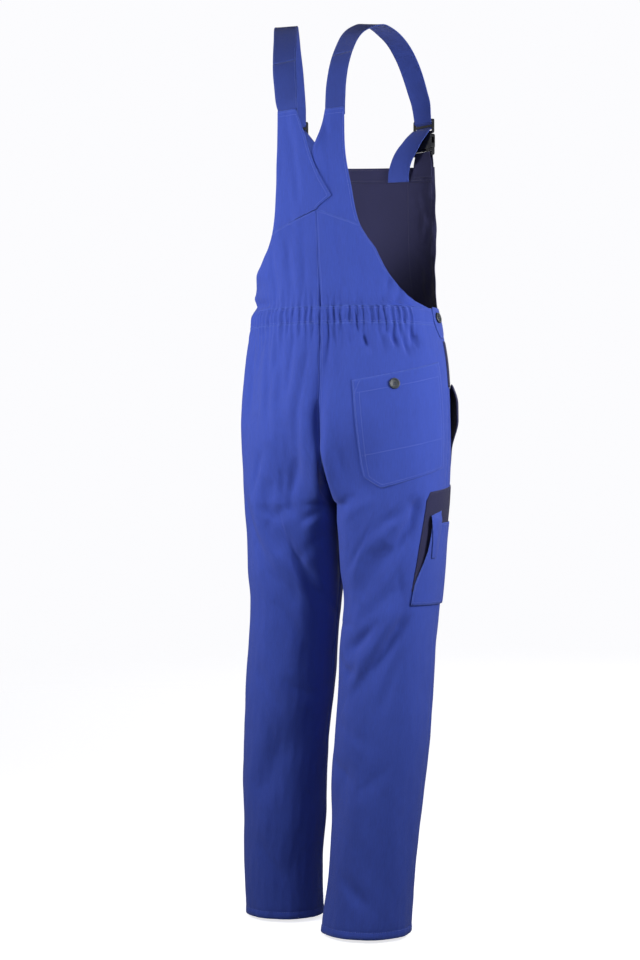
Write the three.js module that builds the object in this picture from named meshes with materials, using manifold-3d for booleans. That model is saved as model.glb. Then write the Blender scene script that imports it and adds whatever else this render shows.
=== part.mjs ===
import * as THREE from 'three';
import { mergeVertices } from 'three/addons/utils/BufferGeometryUtils.js';
import initManifold from 'manifold-3d';

// Bib dungarees as worn, in millimetres. Z is up, the front faces -Y, the wearer's left is +X.
// Height 0 is the underside of the straps where the shoulders carry them.

// Driving sizes
const CLOTH = 1.6;
const SEAM_GAP = 0.3;
const LAY_GAP = 0.8;
const POCKET_CLOTH = 1.2;
const STRAP_WIDTH = 38;
const STRAP_CLOTH = 1.5;
const CASING_TOP = -464;
const CASING_BOTTOM = -490;
const FRONT_WAIST = -462;
const SEAT_FADE = -620;
const SEAT_START = -685;
const CROTCH = -775;
const HEM = -1458;
const BUTTON_DIAMETER = 17.5;

// Body of the garment: one row per level, outer face of the cloth
const BODY_COLUMNS = ['height', 'centreX', 'halfWidth', 'frontDepth', 'backDepth'];
const BODY_SECTIONS = [
  [-150, 6, 148, 100, 124],
  [-215, 2, 150, 106, 124],
  [-300, 0, 150, 108, 122],
  [-380, -2, 150, 107, 118],
  [-450, -5, 152, 104, 115],
  [-492, -7, 158.5, 108, 120],
  [-541, -8, 166.5, 114, 129],
  [-590, -8, 170.5, 118, 135],
  [-640, -7, 173, 119, 138],
  [-690, -7, 173, 119, 137],
  [-737, -7, 171, 118, 131],
  [-775, -7, 169, 116, 124],
];

// Legs: one row per level, the wearer's left leg a little forward of the right
const LEG_COLUMNS = ['height', 'centreX', 'centreY', 'halfWidth', 'halfDepth'];
const INNER_THIGH_SQUARE = 0.6;
const THIGH_ROUND_FROM = -970;
const LEFT_LEG_SECTIONS = [
  [-775, 77.5, 3, 84.5, 100],
  [-835, 79.9, -2, 79.9, 95],
  [-884, 82.6, -5, 77.6, 91],
  [-933, 84.6, -9, 74.2, 86],
  [-1006, 91.6, -14, 72.9, 80],
  [-1080, 98.7, -19, 73.2, 77],
  [-1153, 107, -25, 71.3, 73],
  [-1226, 112.8, -30, 70.1, 70],
  [-1300, 114.5, -36, 68.3, 68],
  [-1373, 120, -41, 66, 66],
  [-1458, 119, -47, 65.5, 65],
];
const RIGHT_LEG_SECTIONS = [
  [-775, -91.5, 3, 84.5, 104],
  [-835, -90.6, 5, 79.9, 99],
  [-884, -89.6, 7, 78.6, 95],
  [-933, -88.6, 10, 75.9, 89],
  [-1006, -82.6, 14, 76.7, 85],
  [-1080, -80, 17, 75.7, 82],
  [-1153, -75.3, 21, 76.8, 80],
  [-1226, -69.8, 25, 75.4, 77],
  [-1300, -66.1, 29, 70.6, 73],
  [-1373, -61.4, 33, 69.9, 71],
  [-1458, -54.3, 38, 71.9, 72],
];

// How far round from the centre back the armhole edge lies, where 1 is the side seam
const ARMHOLE_COLUMNS = ['height', 'left', 'right'];
const ARMHOLE_EDGE = [
  [-150, 0.28, 0.222],
  [-220, 0.305, 0.21],
  [-277, 0.325, 0.245],
  [-330, 0.365, 0.29],
  [-366, 0.455, 0.385],
  [-407, 0.585, 0.475],
  [-436, 0.71, 0.585],
  [-454, 0.8, 0.7],
  [-464, 0.88, 0.855],
];

// Inner edges of the crossed back pieces, counted from the centre back toward the wearer's right
const CROSS_COLUMNS = ['height', 'left', 'right'];
const CROSS_EDGE = [
  [-150, -0.122, 0.066],
  [-188, -0.068, 0.027],
  [-222, -0.031, -0.03],
  [-260, 0.034, -0.08],
  [-286, 0.094, -0.104],
  [-290, 0.104, -0.106],
  [-294, 0.084, -0.108],
  [-307, 0.012, -0.11],
  [-311, 0, -0.11],
];
const YOKE_HEIGHT = -311;
const YOKE_SLOPE = 85;
const PIECE_TOP = { left: -151, right: -151 };

// The right piece's inner edge turns in toward the neck, from this height up to its top
const TURN_IN = { depth: 17, from: -228, to: -150 };

// Gathers on the elastic back waist
const GATHER_STEP = 1 / 21;
const GATHER_HEIGHT = 2.6;
const GATHER_END = { left: 19 / 21, right: 14 / 21 };

// Large folds: from and to (round, height), half width across and depth, all on the outer face
const FOLD_COLUMNS = ['side', 'round1', 'height1', 'round2', 'height2', 'spread', 'depth'];
const FOLDS = [
  [-1, 0.05, -505, 0.0, -700, 14, -5],
  [1, 0.0, -505, 0.0, -700, 14, -5],
  [-1, 0.3, -512, 0.24, -570, 12, -3],
  [-1, 0.78, -745, 0.49, -837, 26, -5],
  [-1, 0.49, -837, 0.36, -925, 24, -6],
  [-1, 0.6, -770, 0.36, -850, 20, 4],
  [-1, 0.74, -944, 0.45, -1072, 13, -4],
  [-1, 0.66, -935, 0.38, -1050, 15, 3.5],
  [-1, 0.28, -1010, 0.5, -980, 12, -3],
  [1, 0.36, -735, 0.43, -800, 20, -5],
  [1, 0.43, -800, 0.17, -930, 22, -6],
  [1, 0.6, -825, 0.36, -945, 20, -4],
  [1, 0.5, -780, 0.28, -920, 18, 4],
  [1, 0.4, -801, 0.2, -777, 12, -4],
  [1, 0.3, -515, 0.26, -640, 16, -4],
  [1, 0.55, -512, 0.5, -660, 18, -4],
  [1, 0.72, -512, 0.7, -700, 16, 3.5],
  [-1, 0.62, -505, 0.58, -545, 12, -3],
  [1, 0.45, -405, 0.95, -408, 15, 4],
  [1, 0.4, -455, 0.93, -455, 9, -4.5],
  [-1, 1.3, -800, 1.6, -930, 24, -5],
  [1, 1.3, -800, 1.6, -930, 24, -5],
  [-1, 1.85, -560, 1.8, -720, 20, -4],
  [1, 1.85, -560, 1.8, -720, 20, -4],
  [-1, 1.5, -1260, 1.2, -1380, 24, -5],
  [1, 1.5, -1250, 1.25, -1360, 24, -5],
  [-1, 0.4, -1180, 0.2, -1290, 26, -4],
  [1, 0.35, -1150, 0.6, -1260, 26, -4],
];
const ROUND_LENGTH = 255;

// Doubled cloth lies flatter: no folds inside these areas
const CALM_COLUMNS = ['side', 'from', 'to', 'top', 'bottom'];
const CALM_AREAS = [
  [-1, 0.19, 0.93, -548, -752],
  [-1, 0.74, 1.34, -738, -945],
  [-1, 0.9, 1.5, -455, -740],
  [1, 0.9, 1.5, -455, -740],
];
const CALM_EDGE = 28;

// Straps over the shoulder: one row per station, up the back and down the front
const STRAP_COLUMNS = ['x', 'y', 'height', 'turn', 'dip'];
const RIGHT_STRAP_PATH = [
  [-27, 109, -163, -15, 0],
  [-27, 108.4, -150, -16, 0],
  [-26.5, 106, -136, -16, 0],
  [-26.5, 102, -112, -16, 0],
  [-28.5, 94, -81, -18, 2],
  [-31, 76, -50, -19, 3],
  [-37, 56, -24, -15, 4],
  [-44, 32, -9, -6, 5],
  [-56, 7, -1, 1, 6],
  [-69, -25, -9, 4, 8],
  [-79, -50, -24, 1, 12],
  [-88, -72, -49, -5, 11],
  [-96, -88, -82, -12, 6],
  [-102.5, -99, -114, -20, 0],
];
const LEFT_STRAP_PATH = [
  [50, 114.3, -163, -17.5, 0],
  [50.5, 114.2, -150, -17, 0],
  [54, 111.6, -135, -10, 0],
  [58, 105, -115, -3, 0],
  [64.5, 94, -84, 2, 0],
  [71.5, 76, -52, 3, 0.5],
  [79, 54, -23, 2, 1],
  [88, 30, -1, 0, 1],
  [96, 5, 7, -1, 1],
  [103.5, -20, 0, -1, 1],
  [111, -46, -17, 1, 0],
  [116, -70, -47, 4, 0],
  [119.5, -87, -82, 8, 0],
  [121.5, -96, -106, 12, 0],
];
const STRAP_JOINT = { left: 0.345, right: 0.36 };

// Bib
const BIB_TOP = -213;
const BIB_COLUMNS = ['height', 'halfWidth', 'front'];
const BIB_SECTIONS = [
  [-213, 131, 113],
  [-290, 133, 114],
  [-370, 137, 112],
  [-430, 145.5, 106],
  [-462, 151.5, 104],
];
const BIB_CURVE = 0.00095;
const BIB_SHIFT = 4;
const BIB_TILT = 0.05;
const FACING_HEIGHT = 24;

// Side-release buckle, measured from its own middle
const BUCKLE = { width: 46, top: 31, bottom: -28.5, frame: 3, socketWidth: 42, socketDepth: 10, socketTop: 7 };
const CLIP_SLOTS = [[11.5, 17.5], [21.5, 27.5]];
const SOCKET_SLOT = [-24.5, -21.2];
const SLOT_WIDTH = STRAP_WIDTH + 1;
const BUCKLE_X = { left: 122, right: -107 };
const BUCKLE_HEIGHT = { left: -160, right: -171 };

// How far each buckle is turned beyond the bib's own face, in degrees
const BUCKLE_TWIST = { left: 0, right: -15 };

const ROYAL = { color: 0x3a52b4, roughness: 0.85, metalness: 0 };
const NAVY = { color: 0x2d2c4e, roughness: 0.88, metalness: 0 };
const STRAP_BLUE = { color: 0x32489a, roughness: 0.8, metalness: 0 };
const BUCKLE_BLACK = { color: 0x16181d, roughness: 0.4, metalness: 0.05 };
const BUTTON_GREY = { color: 0x3c4250, roughness: 0.35, metalness: 0.3 };

const garment = new THREE.Group();
garment.name = 'bib_dungarees';

function addPiece(name, geometry, look) {
  const piece = new THREE.Mesh(geometry, new THREE.MeshStandardMaterial(look));
  piece.name = name;
  garment.add(piece);
  return piece;
}

const named = (columns, row) => Object.fromEntries(columns.map((column, k) => [column, row[k]]));
const mix = (a, b, t) => a + (b - a) * t;
const clamp = (value, low, high) => Math.min(high, Math.max(low, value));
const ease = (t) => clamp(t, 0, 1) ** 2 * (3 - 2 * clamp(t, 0, 1));
const sideName = (side) => (side > 0 ? 'left' : 'right');

function steps(from, to, count) {
  return Array.from({ length: count + 1 }, (_, i) => mix(from, to, i / count));
}

// Reads a table whose first column falls from row to row, with a smooth curve through its rows
function readTable(columns, rows, level) {
  const last = rows.length - 1;
  const at = clamp(level, rows[last][0], rows[0][0]);
  let i = 0;
  while (i < last - 1 && at < rows[i + 1][0]) i += 1;
  const [before, from, to, after] = [rows[Math.max(0, i - 1)], rows[i], rows[i + 1], rows[Math.min(last, i + 2)]];
  const span = from[0] - to[0];
  const t = (from[0] - at) / span;
  const read = {};
  columns.forEach((column, k) => {
    const slopeIn = ((to[k] - before[k]) / (before[0] - to[0])) * span;
    const slopeOut = ((after[k] - from[k]) / (from[0] - after[0])) * span;
    const cubic = (2 * t ** 3 - 3 * t ** 2 + 1) * from[k] + (3 * t ** 2 - 2 * t ** 3) * to[k];
    read[column] = cubic + (t ** 3 - 2 * t ** 2 + t) * slopeIn + (t ** 3 - t ** 2) * slopeOut;
  });
  return read;
}

// A point on the unfolded outer face. round runs 0 centre back, 1 side seam, 2 centre front;
// below the crotch 0 and 2 are the inseam.
function bodyPoint(side, round, height) {
  const turn = round <= 1 ? round : 2 - round;
  const face = round <= 1 ? 1 : -1;
  const body = readTable(BODY_COLUMNS, BODY_SECTIONS, height);
  const depth = face > 0 ? body.backDepth : body.frontDepth;
  const onBody = new THREE.Vector3(
    body.centreX + side * body.halfWidth * Math.sin((turn * Math.PI) / 2),
    face * depth * Math.cos((turn * Math.PI) / 2),
    height,
  );
  if (height >= SEAT_FADE) return onBody;
  const sections = side > 0 ? LEFT_LEG_SECTIONS : RIGHT_LEG_SECTIONS;
  const leg = readTable(LEG_COLUMNS, sections, Math.min(height, CROTCH));
  let share = 1;
  if (height > CROTCH) {
    const drop = Math.max(0, (SEAT_START - height) / (SEAT_START - CROTCH));
    const crotchCurve = 1 - Math.sqrt(1 - drop * drop);
    const seatCurve = ease((SEAT_FADE - height) / (SEAT_FADE - CROTCH));
    share = mix(crotchCurve, seatCurve, ease(turn / 0.22));
    leg.halfWidth = body.halfWidth / 2;
    leg.centreX = body.centreX + side * leg.halfWidth;
  }
  // The inner thighs press on each other, so near the crotch a leg's inner half is squarer and
  // its lengthwise threads run straight down from the seat
  const closed = ease((height - THIGH_ROUND_FROM) / (CROTCH - THIGH_ROUND_FROM));
  const fromSeat = 1 - 2 * Math.sin((turn * Math.PI) / 2);
  const seatAcross = fromSeat > 0 ? fromSeat ** (1 / INNER_THIGH_SQUARE) : fromSeat;
  const legTurn = mix(turn, Math.acos(clamp(seatAcross, -1, 1)) / Math.PI, closed);
  const square = legTurn < 0.5 ? mix(1, INNER_THIGH_SQUARE, closed) : 1;
  const across = Math.cos(legTurn * Math.PI);
  const onLeg = new THREE.Vector3(
    leg.centreX - side * leg.halfWidth * Math.sign(across) * Math.abs(across) ** square,
    leg.centreY + face * leg.halfDepth * Math.abs(Math.sin(legTurn * Math.PI)) ** square,
    height,
  );
  return onBody.lerp(onLeg, share);
}

function bodyNormal(side, round, height) {
  const reach = 0.01;
  const rise = 7;
  const along = bodyPoint(side, Math.min(2, round + reach), height)
    .sub(bodyPoint(side, Math.max(0, round - reach), height));
  const up = bodyPoint(side, round, height + rise).sub(bodyPoint(side, round, height - rise));
  const normal = along.cross(up).multiplyScalar(-side);
  const onCentreSeam = height > CROTCH && Math.min(round, 2 - round) < 0.004;
  if (onCentreSeam) normal.x = 0;
  return normal.normalize();
}

function foldRise(side, round, height) {
  let rise = 0;
  for (const row of FOLDS) {
    const fold = named(FOLD_COLUMNS, row);
    if (fold.side !== side) continue;
    const run = new THREE.Vector2((fold.round2 - fold.round1) * ROUND_LENGTH, fold.height2 - fold.height1);
    const from = new THREE.Vector2((round - fold.round1) * ROUND_LENGTH, height - fold.height1);
    const t = clamp(from.dot(run) / run.lengthSq(), 0, 1);
    const away = from.addScaledVector(run, -t).length() / fold.spread;
    rise += fold.depth * Math.exp(-away * away) * (1 - Math.abs(2 * t - 1) ** 3 * 0.7);
  }
  for (const row of CALM_AREAS) {
    const calm = named(CALM_COLUMNS, row);
    if (calm.side !== side) continue;
    const aside = Math.max(calm.from - round, round - calm.to, 0) * ROUND_LENGTH;
    const above = Math.max(height - calm.top, calm.bottom - height, 0);
    rise *= ease(Math.hypot(aside, above) / CALM_EDGE);
  }
  return rise;
}

function gatherRise(side, round, height) {
  if (round > GATHER_END[sideName(side)]) return 0;
  const wave = round / GATHER_STEP;
  const fromCasing = Math.max(0, height - CASING_TOP, CASING_BOTTOM - height);
  const uneven = Math.abs(Math.sin(Math.floor(wave) * 1.7 + side));
  const reach = height > CASING_TOP ? 9 + 10 * uneven : 24 + 26 * uneven;
  const fade = Math.max(0, 1 - fromCasing / reach);
  return GATHER_HEIGHT * fade * (0.5 - 0.5 * Math.cos(2 * Math.PI * wave));
}

// Outer and inner point of a cloth layer that lies lift above the plain outer face
function layer(side, round, height, lift = 0, thickness = CLOTH) {
  const point = bodyPoint(side, round, height);
  const normal = bodyNormal(side, round, height);
  const rise = lift + foldRise(side, round, height) + gatherRise(side, round, height);
  return {
    outer: point.clone().addScaledVector(normal, rise),
    inner: point.clone().addScaledVector(normal, rise - thickness),
  };
}

// The same across the centre back, where round is counted from it toward the wearer's right
const backLayer = (round, height, lift, thickness) =>
  layer(round > 0 ? -1 : 1, Math.abs(round), height, lift, thickness);

// Closes a cloth wall between rows of outer and inner points. Rows may differ in their number
// of points; pace is each point's place along its row. Rows run down, points run to the right
// as seen from outside, unless mirrored.
function clothWall(rows, mirrored = false) {
  const positions = [];
  const faces = [];
  const numbered = rows.map((row) => row.map((point) => {
    const first = positions.length / 3;
    positions.push(...point.outer.toArray(), ...point.inner.toArray());
    return { outer: first, inner: first + 1, pace: point.pace };
  }));
  const face = (a, b, c) => faces.push(...(mirrored ? [a, c, b] : [a, b, c]));
  const strip = (a, b, c, d) => {
    face(a, b, c);
    face(a, c, d);
  };
  for (let r = 0; r < numbered.length - 1; r += 1) {
    const [upper, lower] = [numbered[r], numbered[r + 1]];
    let [i, j] = [0, 0];
    while (i < upper.length - 1 || j < lower.length - 1) {
      const stepUpper = j === lower.length - 1
        || (i < upper.length - 1 && upper[i + 1].pace + upper[i].pace <= lower[j + 1].pace + lower[j].pace);
      const next = stepUpper ? upper[i + 1] : lower[j + 1];
      face(upper[i].outer, lower[j].outer, next.outer);
      face(lower[j].inner, upper[i].inner, next.inner);
      if (stepUpper) i += 1;
      else j += 1;
    }
    const [endUpper, endLower] = [upper.at(-1), lower.at(-1)];
    strip(upper[0].outer, upper[0].inner, lower[0].inner, lower[0].outer);
    strip(endLower.outer, endLower.inner, endUpper.inner, endUpper.outer);
  }
  const [top, bottom] = [numbered[0], numbered.at(-1)];
  for (let i = 0; i < top.length - 1; i += 1) {
    strip(top[i].outer, top[i + 1].outer, top[i + 1].inner, top[i].inner);
  }
  for (let i = 0; i < bottom.length - 1; i += 1) {
    strip(bottom[i + 1].outer, bottom[i].outer, bottom[i].inner, bottom[i + 1].inner);
  }
  const geometry = new THREE.BufferGeometry();
  geometry.setAttribute('position', new THREE.Float32BufferAttribute(positions, 3));
  geometry.setIndex(faces);
  geometry.computeVertexNormals();
  return geometry;
}

function shiftPoints(point, x, y) {
  point.outer.x += x;
  point.inner.x += x;
  point.outer.y += y;
  point.inner.y += y;
  return point;
}

// Places along a row at the waist, three to a gather and wider where it lies flat
function gatherPlaces(side, edge) {
  const end = Math.min(edge, GATHER_END[sideName(side)]);
  const places = [];
  for (let at = 0; at < end - 0.008; at += GATHER_STEP / 3) places.push(at);
  if (edge > end + 0.01) places.push(...steps(end, edge, Math.ceil((edge - end) / 0.07)));
  else places.push(edge);
  return places;
}

// Trouser panels
const LEG_LEVELS = [-775, -781, -795, -820, -850, -885, -920, -960, -1000, -1045, -1095, -1150, -1210, -1270, -1330,
  -1395, HEM];

function seatLevels(top, stepsDown) {
  const arc = [0.25, 0.46, 0.64, 0.79, 0.9, 0.97];
  return [...steps(top, SEAT_START, stepsDown), ...arc.map((t) => mix(SEAT_START, CROTCH, t))];
}

function addTrouserPanel(side, face) {
  const half = SEAM_GAP / 2;
  const isBack = face > 0;
  const columns = isBack ? 18 : 11;
  const top = isBack ? CASING_BOTTOM - SEAM_GAP : FRONT_WAIST;
  const gathered = isBack ? [top, top - 14, top - 32] : [];
  const plainTop = isBack ? top - 52 : top;
  const levels = [...gathered, ...seatLevels(plainTop, isBack ? 4 : 5), ...LEG_LEVELS];
  const rows = levels.map((height) => {
    const plain = isBack ? [0, 0.02, ...steps(0, 1, columns).slice(1)] : [...steps(1, 2, columns).slice(0, -1), 1.98, 2];
    const places = gathered.includes(height) ? gatherPlaces(side, 1) : plain;
    return places.map((pace) => ({ pace, ...shiftPoints(layer(side, pace, height), side * half, face * half) }));
  });
  addPiece(`${isBack ? 'back' : 'front'}_${sideName(side)}`, clothWall(rows, side > 0), ROYAL);
}

// Back waist and bodice
function addWaistCasing() {
  const left = gatherPlaces(1, 1).map((place) => -place).reverse();
  const places = [...left, ...gatherPlaces(-1, 1).slice(1)];
  const levels = [CASING_TOP, CASING_BOTTOM];
  const rows = levels.map((height) => places.map((pace) => (
    { pace, ...shiftPoints(backLayer(pace, height), 0, SEAM_GAP / 2) })));
  addPiece('back_waist_casing', clothWall(rows), ROYAL);
}

// The armhole edge of a back piece whose rows slant down from the centre back
function armholeEdge(name, level, slant) {
  const straight = readTable(ARMHOLE_COLUMNS, ARMHOLE_EDGE, level)[name];
  return readTable(ARMHOLE_COLUMNS, ARMHOLE_EDGE, level - YOKE_SLOPE * straight * slant)[name];
}

function addBodice(side) {
  const name = sideName(side);
  const bottom = CASING_TOP + SEAM_GAP;
  const gathered = [bottom + 10, bottom + 5, bottom];
  const levels = [YOKE_HEIGHT, -340, -365, -390, -412, -430, -444, ...gathered];
  const rows = levels.map((level) => {
    const slant = 1 - ease((YOKE_HEIGHT - level) / 80);
    const edge = armholeEdge(name, level, slant);
    const places = gathered.includes(level) ? gatherPlaces(side, edge) : steps(0, edge, 9);
    return places.map((pace) => {
      const height = level - (YOKE_SLOPE * pace + SEAM_GAP) * slant;
      return { pace, ...shiftPoints(layer(side, pace, height), (side * SEAM_GAP) / 2, 0) };
    });
  });
  addPiece(`back_bodice_${name}`, clothWall(rows, side > 0), ROYAL);
}

// The left crossed piece rides over the right one, which needs room where they lap
function addCrossedPiece(side) {
  const name = sideName(side);
  const levels = [...steps(PIECE_TOP[name], -284, 7), -290, -294, -301, -307, YOKE_HEIGHT];
  const rows = levels.map((level) => {
    const slant = ease((-240 - level) / 60);
    const outerEdge = -side * armholeEdge(name, level, slant);
    const innerEdge = readTable(CROSS_COLUMNS, CROSS_EDGE, level)[name];
    const turned = side > 0 ? 0 : TURN_IN.depth * ease((level - TURN_IN.from) / (TURN_IN.to - TURN_IN.from));
    return steps(innerEdge, outerEdge, 8).map((place, k) => {
      const height = level - YOKE_SLOPE * (side > 0 ? Math.max(0, -place) : place) * slant;
      const over = side > 0 ? 1 - ease((-place - 0.12) / 0.1) : 0;
      const lapped = backLayer(place, height, over * (CLOTH + LAY_GAP));
      return { pace: k / 8, ...shiftPoints(lapped, 0, -turned * (1 - k / 8)) };
    });
  });
  addPiece(`back_strap_piece_${name}`, clothWall(rows, side > 0), ROYAL);
}

// Straps: a flat ribbon whose middle follows a path table
function ribbonRows(stations, width, thickness) {
  return stations.map((station, i) => {
    const before = stations[Math.max(0, i - 1)].place;
    const after = stations[Math.min(stations.length - 1, i + 1)].place;
    const tangent = after.clone().sub(before).normalize();
    const across = station.across.clone().addScaledVector(tangent, -station.across.dot(tangent)).normalize();
    const normal = tangent.clone().cross(across);
    return steps(-1, 1, 2).map((pace) => {
      const middle = station.place.clone().addScaledVector(across, (pace * width) / 2);
      return {
        pace,
        outer: middle.clone().addScaledVector(normal, thickness / 2),
        inner: middle.clone().addScaledVector(normal, -thickness / 2),
      };
    });
  });
}

function acrossDirection(turn, dip) {
  const [a, b] = [THREE.MathUtils.degToRad(turn), THREE.MathUtils.degToRad(dip)];
  return new THREE.Vector3(Math.cos(a) * Math.cos(b), Math.sin(a) * Math.cos(b), Math.sin(b));
}

function strapStations(table, from, to, count) {
  const path = table.map((row) => named(STRAP_COLUMNS, row));
  const places = new THREE.CatmullRomCurve3(path.map(({ x, y, height }) => new THREE.Vector3(x, y, height)));
  const turns = new THREE.CatmullRomCurve3(path.map(({ turn, dip }) => acrossDirection(turn, dip)));
  return steps(from, to, count).map((t) => ({ place: places.getPoint(t), across: turns.getPoint(t).normalize() }));
}

// The strap's way through the buckle's two slots and down inside the bib: shift along the bib toward
// its middle, depth toward the body, height from the buckle's middle, share of the buckle's twist
const WEAVE_COLUMNS = ['shift', 'inward', 'height', 'twist'];
const WEAVE = [
  [0, 2.7, 30, 1],
  [0, 2.5, 26.7, 1],
  [0, 0, 24.5, 1],
  [0, -2.5, 22.3, 1],
  [0, -2.8, 19.5, 1],
  [0, -2.5, 16.7, 1],
  [0, 0, 14.7, 1],
  [0, 3.6, 13.5, 1],
  [1.5, 8, 8, 1],
  [9, 11.5, -3, 1],
  [20, 12, -17, 0.9],
  [31, 10.5, -30, 0.7],
  [38.5, 8.5, -43, 0.5],
  [43.5, 6.2, -57, 0.25],
  [44.5, 5, -69, 0],
];

// A place near the buckle, which stands over the bib's middle layer
function nearBuckle(side, { shift = 0, inward = 0, height = 0, twist = 1 }) {
  const name = sideName(side);
  const x = BUCKLE_X[name] - side * shift;
  const reach = x - BIB_SHIFT;
  const top = readTable(BIB_COLUMNS, BIB_SECTIONS, BIB_TOP);
  const turn = Math.atan(2 * BIB_CURVE * reach) + THREE.MathUtils.degToRad(BUCKLE_TWIST[name] * twist);
  const place = new THREE.Vector3(
    x - inward * Math.sin(turn),
    -top.front + BIB_CURVE * reach * reach + CLOTH / 2 + inward * Math.cos(turn),
    BUCKLE_HEIGHT[name] + height,
  );
  return { place, turn, across: new THREE.Vector3(Math.cos(turn), Math.sin(turn), 0) };
}

const weaveStations = (side) => WEAVE.map((row) => nearBuckle(side, named(WEAVE_COLUMNS, row)));

function addStraps(side) {
  const name = sideName(side);
  const table = side > 0 ? LEFT_STRAP_PATH : RIGHT_STRAP_PATH;
  const joint = STRAP_JOINT[name];
  const lower = strapStations(table, 0, joint, 7);
  addPiece(`strap_back_${name}`, clothWall(ribbonRows(lower, STRAP_WIDTH, STRAP_CLOTH)), STRAP_BLUE);
  const upper = [...strapStations(table, joint + 0.0012, 1, 19), ...weaveStations(side)];
  addPiece(`strap_${name}`, clothWall(ribbonRows(upper, STRAP_WIDTH, STRAP_CLOTH)), STRAP_BLUE);
}

// Bib, from the wearer's right edge to the left, seen from the front
function bibLayer(across, height, lift, thickness) {
  const size = readTable(BIB_COLUMNS, BIB_SECTIONS, height);
  const body = readTable(BODY_COLUMNS, BODY_SECTIONS, height);
  const x = across * size.halfWidth;
  const free = ease((height - FRONT_WAIST) / 150);
  const onBody = -body.frontDepth * Math.sqrt(Math.max(0, 1 - (x / body.halfWidth) ** 2));
  const flat = -size.front + BIB_CURVE * x * x;
  const middle = mix(body.centreX, BIB_SHIFT, free);
  const outer = new THREE.Vector3(middle + x, mix(onBody, flat, free) - lift, height + BIB_TILT * x * free);
  const bodySlope = (x * body.frontDepth ** 2) / (body.halfWidth ** 2 * Math.max(30, -onBody));
  const inward = new THREE.Vector3(-mix(bodySlope, 2 * BIB_CURVE * x, free), 1, 0).normalize();
  return { outer, inner: outer.clone().addScaledVector(inward, thickness) };
}

function addBib() {
  const levels = [BIB_TOP, -232, -250, -285, -325, -365, -400, -430, -450, FRONT_WAIST + SEAM_GAP];
  const rows = levels.map((height) => steps(-1, 1, 16).map((pace) => ({ pace, ...bibLayer(pace, height, 0, CLOTH) })));
  addPiece('bib', clothWall(rows), NAVY);
  const facing = [BIB_TOP, BIB_TOP - FACING_HEIGHT / 2, BIB_TOP - FACING_HEIGHT];
  const facingRows = facing.map((height) => steps(-0.99, 0.99, 16).map((pace) => (
    { pace, ...bibLayer(pace, height, -CLOTH - LAY_GAP, POCKET_CLOTH) })));
  addPiece('bib_top_facing', clothWall(facingRows), NAVY);
}

// Solids cut with one another
const wasm = await initManifold();
wasm.setup();

function toSolid(geometry) {
  const bare = new THREE.BufferGeometry();
  bare.setAttribute('position', geometry.attributes.position);
  if (geometry.index) bare.setIndex(geometry.index);
  const merged = mergeVertices(bare, 1e-4);
  return new wasm.Manifold(new wasm.Mesh({
    numProp: 3,
    vertProperties: new Float32Array(merged.attributes.position.array),
    triVerts: new Uint32Array(merged.index.array),
  }));
}

function fromSolid(solid) {
  const mesh = solid.getMesh();
  const geometry = new THREE.BufferGeometry();
  geometry.setAttribute('position', new THREE.Float32BufferAttribute(mesh.vertProperties, 3));
  geometry.setIndex([...mesh.triVerts]);
  geometry.computeVertexNormals();
  return geometry;
}

function roundedPlate(width, low, high, depth, corner) {
  const shape = new THREE.Shape();
  const half = width / 2;
  shape.moveTo(-half + corner, low);
  shape.lineTo(half - corner, low);
  shape.quadraticCurveTo(half, low, half, low + corner);
  shape.lineTo(half, high - corner);
  shape.quadraticCurveTo(half, high, half - corner, high);
  shape.lineTo(-half + corner, high);
  shape.quadraticCurveTo(-half, high, -half, high - corner);
  shape.lineTo(-half, low + corner);
  shape.quadraticCurveTo(-half, low, -half + corner, low);
  const plate = new THREE.ExtrudeGeometry(shape, { depth, bevelEnabled: false, curveSegments: 3 });
  plate.translate(0, 0, -depth / 2);
  plate.rotateX(Math.PI / 2);
  return plate;
}

function block(width, low, high, depth, x = 0) {
  const box = new THREE.BoxGeometry(width, depth, high - low);
  box.translate(x, 0, (low + high) / 2);
  return box;
}

function buckleClip() {
  const frame = toSolid(roundedPlate(BUCKLE.width, BUCKLE.socketTop + 0.4, BUCKLE.top, BUCKLE.frame, 3));
  const slots = CLIP_SLOTS.map(([low, high]) => toSolid(block(SLOT_WIDTH, low, high, 20)));
  const prongs = [-14, 0, 14].map((x) => toSolid(block(x === 0 ? 8 : 6, -12, BUCKLE.socketTop + 1, 2.6, x)));
  const slotted = slots.reduce((left, slot) => left.subtract(slot), frame);
  return fromSolid(prongs.reduce((sum, prong) => sum.add(prong), slotted));
}

function buckleSocket() {
  const body = toSolid(roundedPlate(BUCKLE.socketWidth, -18, BUCKLE.socketTop, BUCKLE.socketDepth, 4));
  const bar = toSolid(roundedPlate(BUCKLE.width, BUCKLE.bottom, -16, 4.2, 3));
  const cavity = toSolid(block(BUCKLE.socketWidth - 6, -14, BUCKLE.socketTop + 4, BUCKLE.socketDepth - 4.4));
  const windows = toSolid(block(BUCKLE.width + 10, -9, 1, BUCKLE.socketDepth - 4.4));
  const slot = toSolid(block(SLOT_WIDTH, ...SOCKET_SLOT, 20));
  return fromSolid(body.add(bar).subtract(cavity).subtract(windows).subtract(slot));
}

function placeOnBuckle(piece, side) {
  const { place, turn } = nearBuckle(side, {});
  piece.position.copy(place);
  piece.rotation.z = turn;
}

// A navy ear sewn to both faces of the bib's top and folded round the socket's end bar
const EAR_COLUMNS = ['height', 'inward', 'twist'];
const EAR = [
  [-64, 3.9, 0],
  [-52, 3.9, 0],
  [-44, 3.9, 0],
  [-36, 3.5, 0.5],
  [-28, 3.3, 1],
  [-24.2, 3.2, 1],
  [-22.8, 1.2, 1],
  [-22.8, -1.2, 1],
  [-24.2, -3.2, 1],
  [-28, -3.3, 1],
  [-36, -2.9, 0.5],
  [-44, -2.2, 0],
  [-52, -2.1, 0],
  [-64, -2.1, 0],
];

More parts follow.
